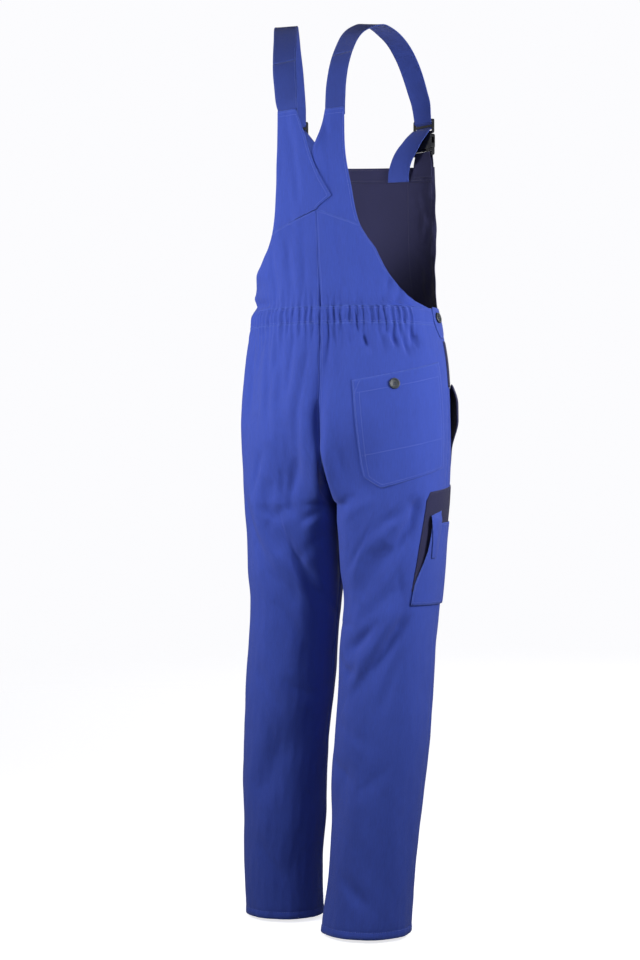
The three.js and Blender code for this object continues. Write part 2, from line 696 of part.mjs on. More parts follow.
function buckleLoop(side) {
  const stations = EAR.map((row) => nearBuckle(side, named(EAR_COLUMNS, row)));
  return clothWall(ribbonRows(stations, STRAP_WIDTH - 4, POCKET_CLOTH));
}

function addBuckle(side) {
  const name = sideName(side);
  placeOnBuckle(addPiece(`buckle_clip_${name}`, buckleClip(), BUCKLE_BLACK), side);
  placeOnBuckle(addPiece(`buckle_socket_${name}`, buckleSocket(), BUCKLE_BLACK), side);
  addPiece(`buckle_loop_${name}`, buckleLoop(side), NAVY);
}

// A piece laid on the trousers between two edges: each row is [height, from, to] or
// [height, from, to, heightAtEnd], and stand gives how far it stands off beyond lying flat
function laidPiece(side, outline, columns, thickness, base = LAY_GAP, stand = () => 0) {
  const rows = outline.map(([height, from, to, endHeight = height]) => steps(0, 1, columns).map((pace) => {
    const round = mix(from, to, pace);
    const level = mix(height, endHeight, pace);
    const lift = base + thickness + stand(round, level);
    return { pace, ...layer(side, round, level, lift, thickness) };
  }));
  return clothWall(rows, side > 0);
}

function addButton(name, side, round, height, base) {
  const radius = BUTTON_DIAMETER / 2;
  const profile = [[0, 0], [radius - 2, 0], [radius, 1.4], [radius - 0.6, 3], [radius - 2, 3], [radius - 3, 2.1], [0, 2.1]];
  const button = new THREE.LatheGeometry(profile.map(([r, h]) => new THREE.Vector2(r, h)), 16);
  const spot = layer(side, round, height, base + LAY_GAP, 0);
  const piece = addPiece(name, button, BUTTON_GREY);
  const normal = bodyNormal(side, round, height);
  piece.position.copy(spot.outer);
  piece.quaternion.setFromUnitVectors(new THREE.Vector3(0, 1, 0), normal);
}

function addBackPocket() {
  const outline = [
    [-582, 0.205, 0.86, -550],
    [-604, 0.215, 0.875, -573],
    [-632, 0.225, 0.885, -601],
    [-660, 0.232, 0.893, -629],
    [-688, 0.238, 0.9, -657],
    [-712, 0.246, 0.904, -682],
    [-733, 0.262, 0.907, -702],
    [-742, 0.32, 0.908, -709],
    [-750, 0.385, 0.909, -717],
  ];
  addPiece('back_pocket', laidPiece(-1, outline, 12, POCKET_CLOTH), ROYAL);
  addButton('back_pocket_button', -1, 0.467, -586.5, LAY_GAP + POCKET_CLOTH);
}

function addSideOpening(side) {
  const name = sideName(side);
  const tab = [
    [-462, 0.9, 1.07],
    [-472, 0.89, 1.09],
    [-484, 0.888, 1.095],
    [-494, 0.9, 1.09],
    [-504, 0.93, 1.06],
    [-510, 0.955, 1.03],
  ];
  addPiece(`side_tab_${name}`, laidPiece(side, tab, 4, CLOTH), ROYAL);
  addButton(`side_button_${name}`, side, 0.957, -479, LAY_GAP + CLOTH);
  const placket = steps(-515, -588, 5).map((height) => [height, 1.015, 1.085]);
  addPiece(`side_placket_${name}`, laidPiece(side, placket, 2, POCKET_CLOTH), NAVY);
}

function addHipPocket(side) {
  const outline = [
    [-584, 1.06, 1.2],
    [-598, 1.055, 1.3],
    [-616, 1.055, 1.38],
    [-636, 1.06, 1.43],
    [-656, 1.08, 1.46],
    [-674, 1.13, 1.47],
    [-700, 1.19, 1.47],
    [-722, 1.23, 1.46],
    [-734, 1.27, 1.44],
  ];
  const stand = (round, height) => 11 * ease((1.36 - round) / 0.24) * ease(1.25 - Math.abs(height + 628) / 50);
  addPiece(`hip_pocket_${sideName(side)}`, laidPiece(side, outline, 6, POCKET_CLOTH, LAY_GAP, stand), NAVY);
}

function addThighPocket() {
  const insert = [
    [-756, 0.775, 1.3, -742],
    [-770, 0.741, 1.3, -760],
    [-790, 0.734, 1.3, -784],
    [-812, 0.73, 1.3, -808],
    [-850, 0.728, 1.3, -848],
    [-885, 0.728, 1.3],
    [-912, 0.728, 1.3],
  ];
  addPiece('thigh_pocket_insert', laidPiece(-1, insert, 10, POCKET_CLOTH), NAVY);
  const base = 2 * LAY_GAP + POCKET_CLOTH;
  const front = [
    [-806, 0.83, 1.31, -802],
    [-813, 0.79, 1.31, -811],
    [-830, 0.786, 1.31],
    [-850, 0.783, 1.31],
    [-870, 0.767, 1.31],
    [-889, 0.746, 1.31],
    [-904, 0.735, 1.31],
    [-934, 0.733, 1.31],
  ];
  const stand = (round, height) => 6 * ease((0.93 - round) / 0.12) * ease(1 - Math.abs(height + 830) / 70);
  addPiece('thigh_pocket_front', laidPiece(-1, front, 10, POCKET_CLOTH, base, stand), ROYAL);
  const loop = [
    [-793, 0.783, 0.909, -786],
    [-801, 0.777, 0.909],
    [-815, 0.788, 0.91],
    [-832, 0.8, 0.905],
    [-848, 0.81, 0.89],
    [-860, 0.818, 0.865],
  ];
  // The loop is sewn to the insert above the front layer and hangs over that layer
  const clear = (round, height) => mix(
    POCKET_CLOTH + SEAM_GAP,
    base + POCKET_CLOTH + stand(round, height),
    ease((-788 - height) / 12),
  );
  addPiece('tool_loop', laidPiece(-1, loop, 3, POCKET_CLOTH, LAY_GAP, clear), ROYAL);
}

addWaistCasing();
addBib();
addBackPocket();
addThighPocket();
for (const side of [1, -1]) {
  addTrouserPanel(side, 1);
  addTrouserPanel(side, -1);
  addBodice(side);
  addCrossedPiece(side);
  addStraps(side);
  addBuckle(side);
  addSideOpening(side);
  addHipPocket(side);
}

export default garment;
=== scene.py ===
import math

import bmesh
import bpy
import numpy as np
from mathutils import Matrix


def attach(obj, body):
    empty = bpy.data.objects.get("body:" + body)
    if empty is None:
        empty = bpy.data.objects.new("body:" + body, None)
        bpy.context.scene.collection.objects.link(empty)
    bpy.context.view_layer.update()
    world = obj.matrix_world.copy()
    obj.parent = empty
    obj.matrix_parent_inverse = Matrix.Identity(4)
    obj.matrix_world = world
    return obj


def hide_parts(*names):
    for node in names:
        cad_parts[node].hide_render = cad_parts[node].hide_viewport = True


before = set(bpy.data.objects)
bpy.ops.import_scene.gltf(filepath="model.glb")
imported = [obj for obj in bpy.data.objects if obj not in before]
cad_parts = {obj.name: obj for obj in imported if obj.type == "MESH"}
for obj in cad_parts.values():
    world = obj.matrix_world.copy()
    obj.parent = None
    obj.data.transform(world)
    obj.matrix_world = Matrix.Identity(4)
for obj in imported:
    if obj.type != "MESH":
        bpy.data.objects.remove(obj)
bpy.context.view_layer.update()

# Sizes in millimetres, in the frame of the solids: Z up, front towards -Y, wearer's left +X
MM = 0.001
CLOTH = 1.6
SEAM_GAP = 0.3
LAY_GAP = 0.8
POCKET_CLOTH = 1.2
STRAP_WIDTH = 38
STRAP_CLOTH = 1.5
CASING_TOP = -464
CASING_BOTTOM = -490
FRONT_WAIST = -462
SEAT_FADE = -620
SEAT_START = -685
CROTCH = -775
HEM = -1458
HEM_TURN = 11
BUTTON_DIAMETER = 17.5
INNER_THIGH_SQUARE = 0.6
THIGH_ROUND_FROM = -970
ROUND_LENGTH = 255
GATHER_STEP = 1 / 21
GATHER_HEIGHT = 3.2
FOLD_STRENGTH = 1.45
CREASE_STRENGTH = 2.3
GATHER_END = {1: 19 / 21, -1: 14 / 21}
YOKE_HEIGHT = -311
YOKE_SLOPE = 85
PIECE_TOP = -151
TURN_IN = 17
TURN_IN_FROM = -228
SIDE_NAME = {1: "left", -1: "right"}

# Body: height, centre x, half width, front depth, back depth
BODY_SECTIONS = [
    [-150, 6, 148, 100, 124],
    [-215, 2, 150, 106, 124],
    [-300, 0, 150, 108, 122],
    [-380, -2, 150, 107, 118],
    [-450, -5, 152, 104, 115],
    [-492, -7, 158.5, 108, 120],
    [-541, -8, 166.5, 114, 129],
    [-590, -8, 170.5, 118, 135],
    [-640, -7, 173, 119, 138],
    [-690, -7, 173, 119, 137],
    [-737, -7, 171, 118, 131],
    [-775, -7, 169, 116, 124],
]

# Legs: height, centre x, centre y, half width, half depth
LEG_SECTIONS = {
    1: [
        [-775, 77.5, 3, 84.5, 100],
        [-835, 79.9, -2, 79.9, 95],
        [-884, 82.6, -5, 77.6, 91],
        [-933, 84.6, -9, 74.2, 86],
        [-1006, 91.6, -14, 72.9, 80],
        [-1080, 98.7, -19, 73.2, 77],
        [-1153, 107, -25, 71.3, 73],
        [-1226, 112.8, -30, 70.1, 70],
        [-1300, 114.5, -36, 68.3, 68],
        [-1373, 120, -41, 66, 66],
        [-1458, 119, -47, 65.5, 65],
    ],
    -1: [
        [-775, -91.5, 3, 84.5, 104],
        [-835, -90.6, 5, 79.9, 99],
        [-884, -89.6, 7, 78.6, 95],
        [-933, -88.6, 10, 75.9, 89],
        [-1006, -82.6, 14, 76.7, 85],
        [-1080, -80, 17, 75.7, 82],
        [-1153, -75.3, 21, 76.8, 80],
        [-1226, -69.8, 25, 75.4, 77],
        [-1300, -66.1, 29, 70.6, 73],
        [-1373, -61.4, 33, 69.9, 71],
        [-1458, -54.3, 38, 71.9, 72],
    ],
}

# Armhole edge: height, left and right place round from the centre back
ARMHOLE_EDGE = [
    [-150, 0.28, 0.222],
    [-220, 0.305, 0.21],
    [-277, 0.325, 0.245],
    [-330, 0.365, 0.29],
    [-366, 0.455, 0.385],
    [-407, 0.585, 0.475],
    [-436, 0.71, 0.585],
    [-454, 0.8, 0.7],
    [-464, 0.88, 0.855],
]

# Inner edges of the crossed back pieces: height, left and right piece
CROSS_EDGE = [
    [-150, -0.122, 0.066],
    [-188, -0.068, 0.027],
    [-222, -0.031, -0.03],
    [-260, 0.034, -0.08],
    [-286, 0.094, -0.104],
    [-290, 0.104, -0.106],
    [-294, 0.084, -0.108],
    [-307, 0.012, -0.11],
    [-311, 0, -0.11],
]

# Large folds: side, round and height at each end, half width across, depth
FOLDS = [
    [-1, 0.05, -505, 0.0, -700, 14, -5],
    [1, 0.0, -505, 0.0, -700, 14, -5],
    [-1, 0.3, -512, 0.24, -570, 12, -3],
    [-1, 0.78, -745, 0.49, -837, 26, -5],
    [-1, 0.49, -837, 0.36, -925, 24, -6],
    [-1, 0.6, -770, 0.36, -850, 20, 4],
    [-1, 0.74, -944, 0.45, -1072, 13, -4],
    [-1, 0.66, -935, 0.38, -1050, 15, 3.5],
    [-1, 0.28, -1010, 0.5, -980, 12, -3],
    [1, 0.36, -735, 0.43, -800, 20, -5],
    [1, 0.43, -800, 0.17, -930, 22, -6],
    [1, 0.6, -825, 0.36, -945, 20, -4],
    [1, 0.5, -780, 0.28, -920, 18, 4],
    [1, 0.4, -801, 0.2, -777, 12, -4],
    [1, 0.3, -515, 0.26, -640, 16, -4],
    [1, 0.55, -512, 0.5, -660, 18, -4],
    [1, 0.72, -512, 0.7, -700, 16, 3.5],
    [-1, 0.62, -505, 0.58, -545, 12, -3],
    [-1, 1.3, -800, 1.6, -930, 24, -5],
    [1, 1.3, -800, 1.6, -930, 24, -5],
    [-1, 1.85, -560, 1.8, -720, 20, -4],
    [1, 1.85, -560, 1.8, -720, 20, -4],
    [-1, 1.5, -1260, 1.2, -1380, 24, -5],
    [1, 1.5, -1250, 1.25, -1360, 24, -5],
    [-1, 0.4, -1180, 0.2, -1290, 26, -4],
    [1, 0.35, -1150, 0.6, -1260, 26, -4],
    [1, 0.45, -405, 0.95, -408, 15, 4],
    [1, 0.4, -455, 0.93, -455, 9, -4.5],
]

# Finer creases, in the same columns
CREASES = [
    [1, 0.0, -560, 0.0, -640, 8, -1.6],
    [-1, 0.0, -560, 0.0, -640, 8, -1.6],
    [1, 0.0, -625, 0.0, -790, 8, -4.2],
    [-1, 0.0, -625, 0.0, -790, 8, -4.2],
    [1, 0.07, -600, 0.09, -720, 14, 1.6],
    [-1, 0.06, -600, 0.08, -720, 14, 1.6],
    [-1, 0.096, -781, 0.247, -743, 7, -1.6],
    [-1, 0.112, -800, 0.339, -756, 8, 1.0],
    [-1, 0.604, -881, 0.71, -944, 8, -1.3],
    [-1, 0.12, -969, 0.33, -966, 4, -1.1],
    [-1, 0.16, -1018, 0.36, -1047, 8, -1.2],
    [-1, 0.3, -1080, 0.22, -1115, 7, -0.9],
    [-1, 0.74, -935, 0.57, -1010, 8, -1.4],
    [-1, 0.57, -1010, 0.37, -1078, 8, -1.4],
    [-1, 0.755, -769, 0.389, -806, 9, -1.4],
    [-1, 0.389, -806, 0.183, -883, 10, -1.3],
    [-1, 0.2, -1185, 0.42, -1212, 9, -0.9],
    [-1, 0.45, -1235, 0.66, -1190, 11, -0.8],
    [-1, 0.16, -502, 0.133, -568, 6, -1.2],
    [-1, 0.256, -499, 0.32, -537, 5, -1.6],
    [-1, 0.423, -497, 0.481, -522, 5, -1.7],
    [-1, 0.055, -496, 0.034, -556, 6, -1.3],
    [-1, 0.341, -498, 0.291, -537, 5, 0.8],
    [-1, 0.568, -493, 0.684, -524, 6, -0.8],
    [1, 0.554, -756, 0.417, -689, 8, -1.1],
    [1, 0.293, -777, 0.259, -718, 8, -1.1],
    [1, 0.46, -801, 0.375, -859, 11, -1.6],
    [1, 0.375, -859, 0.339, -930, 12, -1.5],
    [1, 0.169, -804, 0.034, -786, 6, -1.5],
    [1, 0.146, -817, 0.002, -782, 7, 1.0],
    [1, 0.259, -761, 0.167, -801, 9, -1.2],
    [1, 0.213, -907, 0.005, -953, 8, -1.1],
    [1, 0.261, -867, 0.007, -821, 9, -1.1],
    [1, 0.291, -496, 0.382, -601, 8, -0.9],
    [1, 0.16, -500, 0.204, -595, 8, -0.9],
    [1, 0.437, -489, 0.552, -563, 8, -0.8],
    [1, 0.069, -501, 0.105, -567, 7, -0.7],
    [1, 0.62, -1090, 0.42, -1180, 12, -0.8],
    [-1, 0.1, -500, 0.13, -585, 7, -1.6],
    [-1, 0.19, -500, 0.2, -560, 6, -1.4],
    [-1, 0.47, -496, 0.5, -530, 6, -2.0],
    [-1, 0.53, -498, 0.585, -548, 5, -1.8],
    [-1, 0.62, -498, 0.66, -532, 6, -1.6],
    [-1, 0.4, -500, 0.41, -545, 6, -1.2],
    [1, 0.09, -500, 0.14, -700, 9, -1.8],
    [1, 0.2, -505, 0.22, -600, 7, -1.4],
    [1, 0.42, -500, 0.36, -660, 9, -1.8],
    [1, 0.64, -505, 0.58, -640, 9, -1.6],
    [-1, 0.12, -690, 0.2, -770, 10, -2.2],
    [-1, 0.2, -740, 0.33, -760, 8, -1.8],
    [1, 0.14, -700, 0.24, -770, 10, -2.2],
    [-1, 0.66, -752, 0.4, -812, 9, -1.8],
    [-1, 0.7, -765, 0.5, -870, 10, -1.6],
    [-1, 0.55, -960, 0.33, -1010, 9, -1.8],
    [-1, 0.62, -905, 0.4, -960, 12, -1.5],
    [-1, 0.28, -1052, 0.4, -1030, 8, -1.4],
    [-1, 0.7, -1010, 0.58, -1100, 10, -1.3],
    [1, 0.7, -760, 0.55, -850, 12, -1.8],
    [1, 0.3, -850, 0.15, -900, 10, -1.8],
    [1, 0.52, -930, 0.28, -1000, 12, -1.6],
    [1, 0.66, -1040, 0.42, -1110, 12, -1.4],
    [1, 0.2, -1090, 0.44, -1060, 10, -1.2],
    [-1, 0.2, -1120, 0.5, -1150, 12, -1.0],
    [1, 0.6, -1330, 0.35, -1400, 12, -1.4],
    [-1, 0.35, -1360, 0.6, -1410, 12, -1.4],
    [-1, 0.12, -330, 0.14, -450, 8, -1.2],
    [1, 0.1, -330, 0.12, -450, 8, -1.2],
    [1, 0.24, -350, 0.22, -455, 8, -1.2],
    [1, 0.4, -370, 0.36, -455, 8, -1.2],
    [-1, 0.26, -350, 0.3, -455, 8, -1.2],
    [-1, 0.5, -418, 0.42, -458, 7, -1.6],
    [-1, 0.58, -434, 0.52, -460, 6, -1.4],
    [-1, 0.37, -400, 0.36, -458, 7, -1.2],
    [-1, 0.07, -170, 0.1, -290, 9, -1.4],
    [1, 0.17, -180, 0.13, -300, 9, -1.4],
    [1, 1.2, -500, 1.3, -660, 12, -2.0],
    [-1, 1.6, -470, 1.55, -640, 12, -2.0],
    [1, 1.6, -470, 1.55, -640, 12, -2.0],
    [-1, 1.2, -780, 1.45, -860, 14, -2.2],
    [1, 1.2, -780, 1.45, -860, 14, -2.2],
    [-1, 1.9, -760, 1.6, -850, 14, -2.4],
    [1, 1.9, -760, 1.6, -850, 14, -2.4],
    [-1, 1.7, -1000, 1.4, -1060, 14, -1.8],
    [1, 1.7, -1020, 1.35, -1090, 14, -1.8],
    [-1, 1.3, -1130, 1.6, -1190, 14, -1.8],
    [1, 1.25, -1150, 1.6, -1200, 14, -1.8],
    [-1, 1.65, -1380, 1.35, -1420, 12, -1.6],
    [1, 1.65, -1370, 1.35, -1410, 12, -1.6],
]

# Doubled cloth lies flatter: side, from, to, top, bottom
CALM_AREAS = [
    [-1, 0.19, 0.93, -548, -752],
    [-1, 0.74, 1.34, -738, -945],
    [-1, 0.9, 1.5, -455, -740],
    [1, 0.9, 1.5, -455, -740],
]
CALM_EDGE = 28

# Straps up the back and down the front: x, y, height, turn, dip
STRAP_PATH = {
    -1: [
        [-27, 109, -163, -15, 0],
        [-27, 108.4, -150, -16, 0],
        [-26.5, 106, -136, -16, 0],
        [-26.5, 102, -112, -16, 0],
        [-28.5, 94, -81, -18, 2],
        [-31, 76, -50, -19, 3],
        [-37, 56, -24, -15, 4],
        [-44, 32, -9, -6, 5],
        [-56, 7, -1, 1, 6],
        [-69, -25, -9, 4, 8],
        [-79, -50, -24, 1, 12],
        [-88, -72, -49, -5, 11],
        [-96, -88, -82, -12, 6],
        [-102.5, -99, -114, -20, 0],
    ],
    1: [
        [50, 114.3, -163, -17.5, 0],
        [50.5, 114.2, -150, -17, 0],
        [54, 111.6, -135, -10, 0],
        [58, 105, -115, -3, 0],
        [64.5, 94, -84, 2, 0],
        [71.5, 76, -52, 3, 0.5],
        [79, 54, -23, 2, 1],
        [88, 30, -1, 0, 1],
        [96, 5, 7, -1, 1],
        [103.5, -20, 0, -1, 1],
        [111, -46, -17, 1, 0],
        [116, -70, -47, 4, 0],
        [119.5, -87, -82, 8, 0],
        [121.5, -96, -106, 12, 0],
    ],
}
STRAP_JOINT = {1: 0.345, -1: 0.36}

# The strap's way through the buckle and inside the bib: shift, inward, height, twist
WEAVE = [
    [0, 2.7, 30, 1],
    [0, 2.5, 26.7, 1],
    [0, 0, 24.5, 1],
    [0, -2.5, 22.3, 1],
    [0, -2.8, 19.5, 1],
    [0, -2.5, 16.7, 1],
    [0, 0, 14.7, 1],
    [0, 3.6, 13.5, 1],
    [1.5, 8, 8, 1],
    [9, 11.5, -3, 1],
    [20, 12, -17, 0.9],
    [31, 10.5, -30, 0.7],
    [38.5, 8.5, -43, 0.5],
    [43.5, 6.2, -57, 0.25],
    [44.5, 5, -69, 0],
]

# Bib: height, half width, front
BIB_TOP = -213
BIB_SECTIONS = [
    [-213, 131, 113],
    [-290, 133, 114],
    [-370, 137, 112],
    [-430, 145.5, 106],
    [-462, 151.5, 104],
]
BIB_CURVE = 0.00095
BIB_SHIFT = 4
BIB_TILT = 0.05
FACING_HEIGHT = 24
BUCKLE_X = {1: 122, -1: -107}
BUCKLE_HEIGHT = {1: -160, -1: -171}
BUCKLE_TWIST = {1: 0, -1: -15}

# Navy ear round the buckle's end bar: height, inward, twist
EAR = [
    [-64, 3.9, 0],
    [-52, 3.9, 0],
    [-44, 3.9, 0],
    [-36, 3.5, 0.5],
    [-28, 3.3, 1],
    [-24.2, 3.2, 1],
    [-22.8, 1.2, 1],
    [-22.8, -1.2, 1],
    [-24.2, -3.2, 1],
    [-28, -3.3, 1],
    [-36, -2.9, 0.5],
    [-44, -2.2, 0],
    [-52, -2.1, 0],
    [-64, -2.1, 0],
]


def mix(a, b, t):
    return a + (b - a) * t


def ease(t):
    t = np.clip(t, 0, 1)
    return t * t * (3 - 2 * t)


def unit(v):
    return v / np.maximum(np.linalg.norm(v, axis=-1, keepdims=True), 1e-9)


def read_table(rows, level):
    """Columns of a table whose first column falls, with a smooth curve through its rows."""
    table = np.array(rows, float)
    keys = table[:, 0]
    last = len(keys) - 1
    at = np.clip(np.asarray(level, float), keys[-1], keys[0])
    i = np.clip(np.searchsorted(-keys, -at, side="left") - 1, 0, last - 1)
    start, end = table[i], table[i + 1]
    before, after = table[np.maximum(i - 1, 0)], table[np.minimum(i + 2, last)]
    span = (start[..., 0] - end[..., 0])[..., None]
    t = (start[..., 0] - at)[..., None] / span
    slope_in = (end - before) / (before[..., 0] - end[..., 0])[..., None] * span
    slope_out = (after - start) / (start[..., 0] - after[..., 0])[..., None] * span
    curve = (2 * t**3 - 3 * t**2 + 1) * start + (3 * t**2 - 2 * t**3) * end
    curve = curve + (t**3 - 2 * t**2 + t) * slope_in + (t**3 - t**2) * slope_out
    return np.moveaxis(curve, -1, 0)[1:]


def body_points(side, around, height):
    """Unfolded outer face: around runs 0 centre back, 1 side seam, 2 centre front."""
    turn = np.where(around <= 1, around, 2 - around)
    face = np.where(around <= 1, 1.0, -1.0)
    centre, half, front, back = read_table(BODY_SECTIONS, height)
    depth = np.where(face > 0, back, front)
    quarter = turn * math.pi / 2
    on_body = np.stack([centre + side * half * np.sin(quarter), face * depth * np.cos(quarter), height], -1)
    leg_x, leg_y, leg_half, leg_depth = read_table(LEG_SECTIONS[side], np.minimum(height, CROTCH))
    above = height > CROTCH
    drop = np.clip((SEAT_START - height) / (SEAT_START - CROTCH), 0, 1)
    crotch_curve = 1 - np.sqrt(1 - drop * drop)
    seat_curve = ease((SEAT_FADE - height) / (SEAT_FADE - CROTCH))
    share = np.where(above, mix(crotch_curve, seat_curve, ease(turn / 0.22)), 1)
    share = np.where(height >= SEAT_FADE, 0, share)
    leg_half = np.where(above, half / 2, leg_half)
    leg_x = np.where(above, centre + side * half / 2, leg_x)
    closed = ease((height - THIGH_ROUND_FROM) / (CROTCH - THIGH_ROUND_FROM))
    from_seat = 1 - 2 * np.sin(quarter)
    seat_across = np.where(from_seat > 0, np.abs(from_seat) ** (1 / INNER_THIGH_SQUARE), from_seat)
    leg_turn = mix(turn, np.arccos(np.clip(seat_across, -1, 1)) / math.pi, closed)
    square = np.where(leg_turn < 0.5, mix(1, INNER_THIGH_SQUARE, closed), 1)
    across = np.cos(leg_turn * math.pi)
    on_leg = np.stack([
        leg_x - side * leg_half * np.sign(across) * np.abs(across) ** square,
        leg_y + face * leg_depth * np.abs(np.sin(leg_turn * math.pi)) ** square,
        height,
    ], -1)
    return mix(on_body, on_leg, share[..., None])


def body_normals(side, around, height):
    reach, rise = 0.01, 7
    along = body_points(side, np.minimum(2, around + reach), height)
    along = along - body_points(side, np.maximum(0, around - reach), height)
    up = body_points(side, around, height + rise) - body_points(side, around, height - rise)
    normal = np.cross(along, up) * -side
    on_seam = (height > CROTCH) & (np.minimum(around, 2 - around) < 0.004)
    normal[..., 0] = np.where(on_seam, 0, normal[..., 0])
    return unit(normal)


def crease_sum(rows, side, around, height):
    rise = np.zeros_like(around)
    for row_side, round1, height1, round2, height2, spread, depth in rows:
        if row_side != side:
            continue
        run_x, run_y = (round2 - round1) * ROUND_LENGTH, height2 - height1
        from_x, from_y = (around - round1) * ROUND_LENGTH, height - height1
        t = np.clip((from_x * run_x + from_y * run_y) / (run_x**2 + run_y**2), 0, 1)
        away = np.hypot(from_x - run_x * t, from_y - run_y * t) / spread
        rise += depth * np.exp(-away * away) * (1 - np.abs(2 * t - 1) ** 3 * 0.7)
    return rise


def calm_share(side, around, height):
    share = np.ones_like(around)
    for row_side, start, end, top, bottom in CALM_AREAS:
        if row_side != side:
            continue
        aside = np.maximum(np.maximum(start - around, around - end), 0) * ROUND_LENGTH
        above = np.maximum(np.maximum(height - top, bottom - height), 0)
        share *= ease(np.hypot(aside, above) / CALM_EDGE)
    return share


def soft_waves(u, v, length, seed):
    """Uneven low waves between -1 and 1, about one a length, the same on every run."""
    total = np.zeros(np.broadcast(u, v).shape)
    for k in range(5):
        angle = seed * 1.3 + k * 2.4
        pace = 2 * math.pi / (length * (0.75 + 0.16 * k))
        total += np.sin((u * math.cos(angle) + v * math.sin(angle)) * pace + seed * 5.1 + k * k * 1.7)
    return total / 3


def fold_rise(side, around, height):
    calm = calm_share(side, around, height)
    u = around * ROUND_LENGTH
    waves = 0.8 * soft_waves(u, height * 0.4, 58, side + 2.0) + 0.3 * soft_waves(u, height * 0.25, 16, side + 5.0)
    fine = CREASE_STRENGTH * crease_sum(CREASES, side, around, height) * mix(0.2, 1, calm)
    large = FOLD_STRENGTH * crease_sum(FOLDS, side, around, height) * calm
    return large + fine + waves * mix(0.4, 1, calm)


def gather_rise(side, around, height):
    wave = around / GATHER_STEP
    number = np.floor(wave)
    from_casing = np.maximum(np.maximum(height - CASING_TOP, CASING_BOTTOM - height), 0)
    uneven = np.abs(np.sin(number * 1.7 + side))
    reach = np.where(height > CASING_TOP, 16 + 26 * uneven, 26 + 32 * uneven)
    fade = np.maximum(0, 1 - from_casing / reach)
    lean = wave + 0.14 * np.sin(2 * math.pi * wave + number * 2.1) + 0.05 * np.sin(height / 5 + number)
    pleat = (0.5 - 0.5 * np.cos(2 * math.pi * lean)) ** mix(1, 1.7, np.abs(np.sin(number * 2.3)))
    small = np.sin(4.6 * math.pi * wave + 2.3 * np.sin(wave * 1.9) + height / 9)
    small = small + 0.8 * np.sin(7.4 * math.pi * wave + 1.7 * np.sin(wave * 2.7) - height / 6)
    ends = ease((GATHER_END[side] - around) / 0.02)
    return GATHER_HEIGHT * (fade * pleat + 0.17 * small * fade**1.6) * ends


def seam_dip(around, height):
    """Seams draw the cloth in by a hair along the side seam, inseam and centre seam."""
    away = np.minimum(np.minimum(around, np.abs(around - 1)), 2 - around) * ROUND_LENGTH
    return -0.7 * np.exp(-(away / 2.2) ** 2)


def surface(side, around, height, lift=0.0, seams=0.0):
    around, height = np.broadcast_arrays(np.asarray(around, float), np.asarray(height, float))
    normal = body_normals(side, around, height)
    rise = lift + fold_rise(side, around, height) + gather_rise(side, around, height)
    rise = rise + seams * seam_dip(around, height)
    return body_points(side, around, height) + normal * rise[..., None], normal


def back_surface(around, height, lift=0.0):
    """The same across the centre back, counted toward the wearer's right."""
    around, height = np.broadcast_arrays(np.asarray(around, float), np.asarray(height, float))
    right, right_normal = surface(-1, np.abs(around), height, lift)
    left, left_normal = surface(1, np.abs(around), height, lift)
    on_right = (around > 0)[..., None]
    share = ease(0.5 + around / 0.03)[..., None]
    close = (np.abs(around) < 0.015)[..., None]
    point = np.where(on_right, right, left)
    blended = mix(left, right, share)
    blended[..., 0] = point[..., 0]
    return np.where(close, blended, point), np.where(on_right, right_normal, left_normal)


def spread_marks(marks, step):
    """Places between the marks no further apart than step, the marks among them."""
    places = [marks[0]]
    for start, end in zip(marks, marks[1:]):
        count = max(1, math.ceil(abs(end - start) / step))
        places += [mix(start, end, k / count) for k in range(1, count + 1)]
    return np.array(places)


# Node helpers
def new_material(name, colour, roughness):
    material = bpy.data.materials.new(name)
    material.use_nodes = True
    shader = material.node_tree.nodes["Principled BSDF"]
    shader.inputs["Base Color"].default_value = (*colour, 1)
    shader.inputs["Roughness"].default_value = roughness
    return material, shader


def add_node(material, kind, **values):
    node = material.node_tree.nodes.new(kind)
    for name, value in values.items():
        setattr(node, name, value)
    return node


def link(material, output, target):
    material.node_tree.links.new(output, target)


def math_node(material, operation, first, second=None):
    node = add_node(material, "ShaderNodeMath", operation=operation)
    for socket, value in zip(node.inputs, (first, second)):
        if value is None:
            continue
        if isinstance(value, (int, float)):
            socket.default_value = value
        else:
            link(material, value, socket)
    return node.outputs[0]


def noise_node(material, vector, scale, detail=3, rough=0.5):
    node = add_node(material, "ShaderNodeTexNoise")
    node.inputs["Scale"].default_value = scale
    node.inputs["Detail"].default_value = detail
    node.inputs["Roughness"].default_value = rough
    link(material, vector, node.inputs["Vector"])
    return node.outputs["Fac"]


def mapped(material, value, low, high, new_low, new_high):
    node = add_node(material, "ShaderNodeMapRange")
    link(material, value, node.inputs["Value"])
    for socket, number in zip(("From Min", "From Max", "To Min", "To Max"), (low, high, new_low, new_high)):
        node.inputs[socket].default_value = number
    return node.outputs["Result"]


def mixed_colour(material, factor, first, second):
    node = add_node(material, "ShaderNodeMix", data_type="RGBA")
    if isinstance(factor, float):
        node.inputs["Factor"].default_value = factor
    else:
        link(material, factor, node.inputs["Factor"])
    for socket, value in ((node.inputs["A"], first), (node.inputs["B"], second)):
        if isinstance(value, tuple):
            socket.default_value = (*value, 1)
        else:
            link(material, value, socket)
    return node.outputs["Result"]


def bump_node(material, height, distance, strength, below=None):
    node = add_node(material, "ShaderNodeBump")
    node.inputs["Distance"].default_value = distance
    node.inputs["Strength"].default_value = strength
    link(material, height, node.inputs["Height"])
    if below is not None:
        link(material, below, node.inputs["Normal"])
    return node.outputs["Normal"]


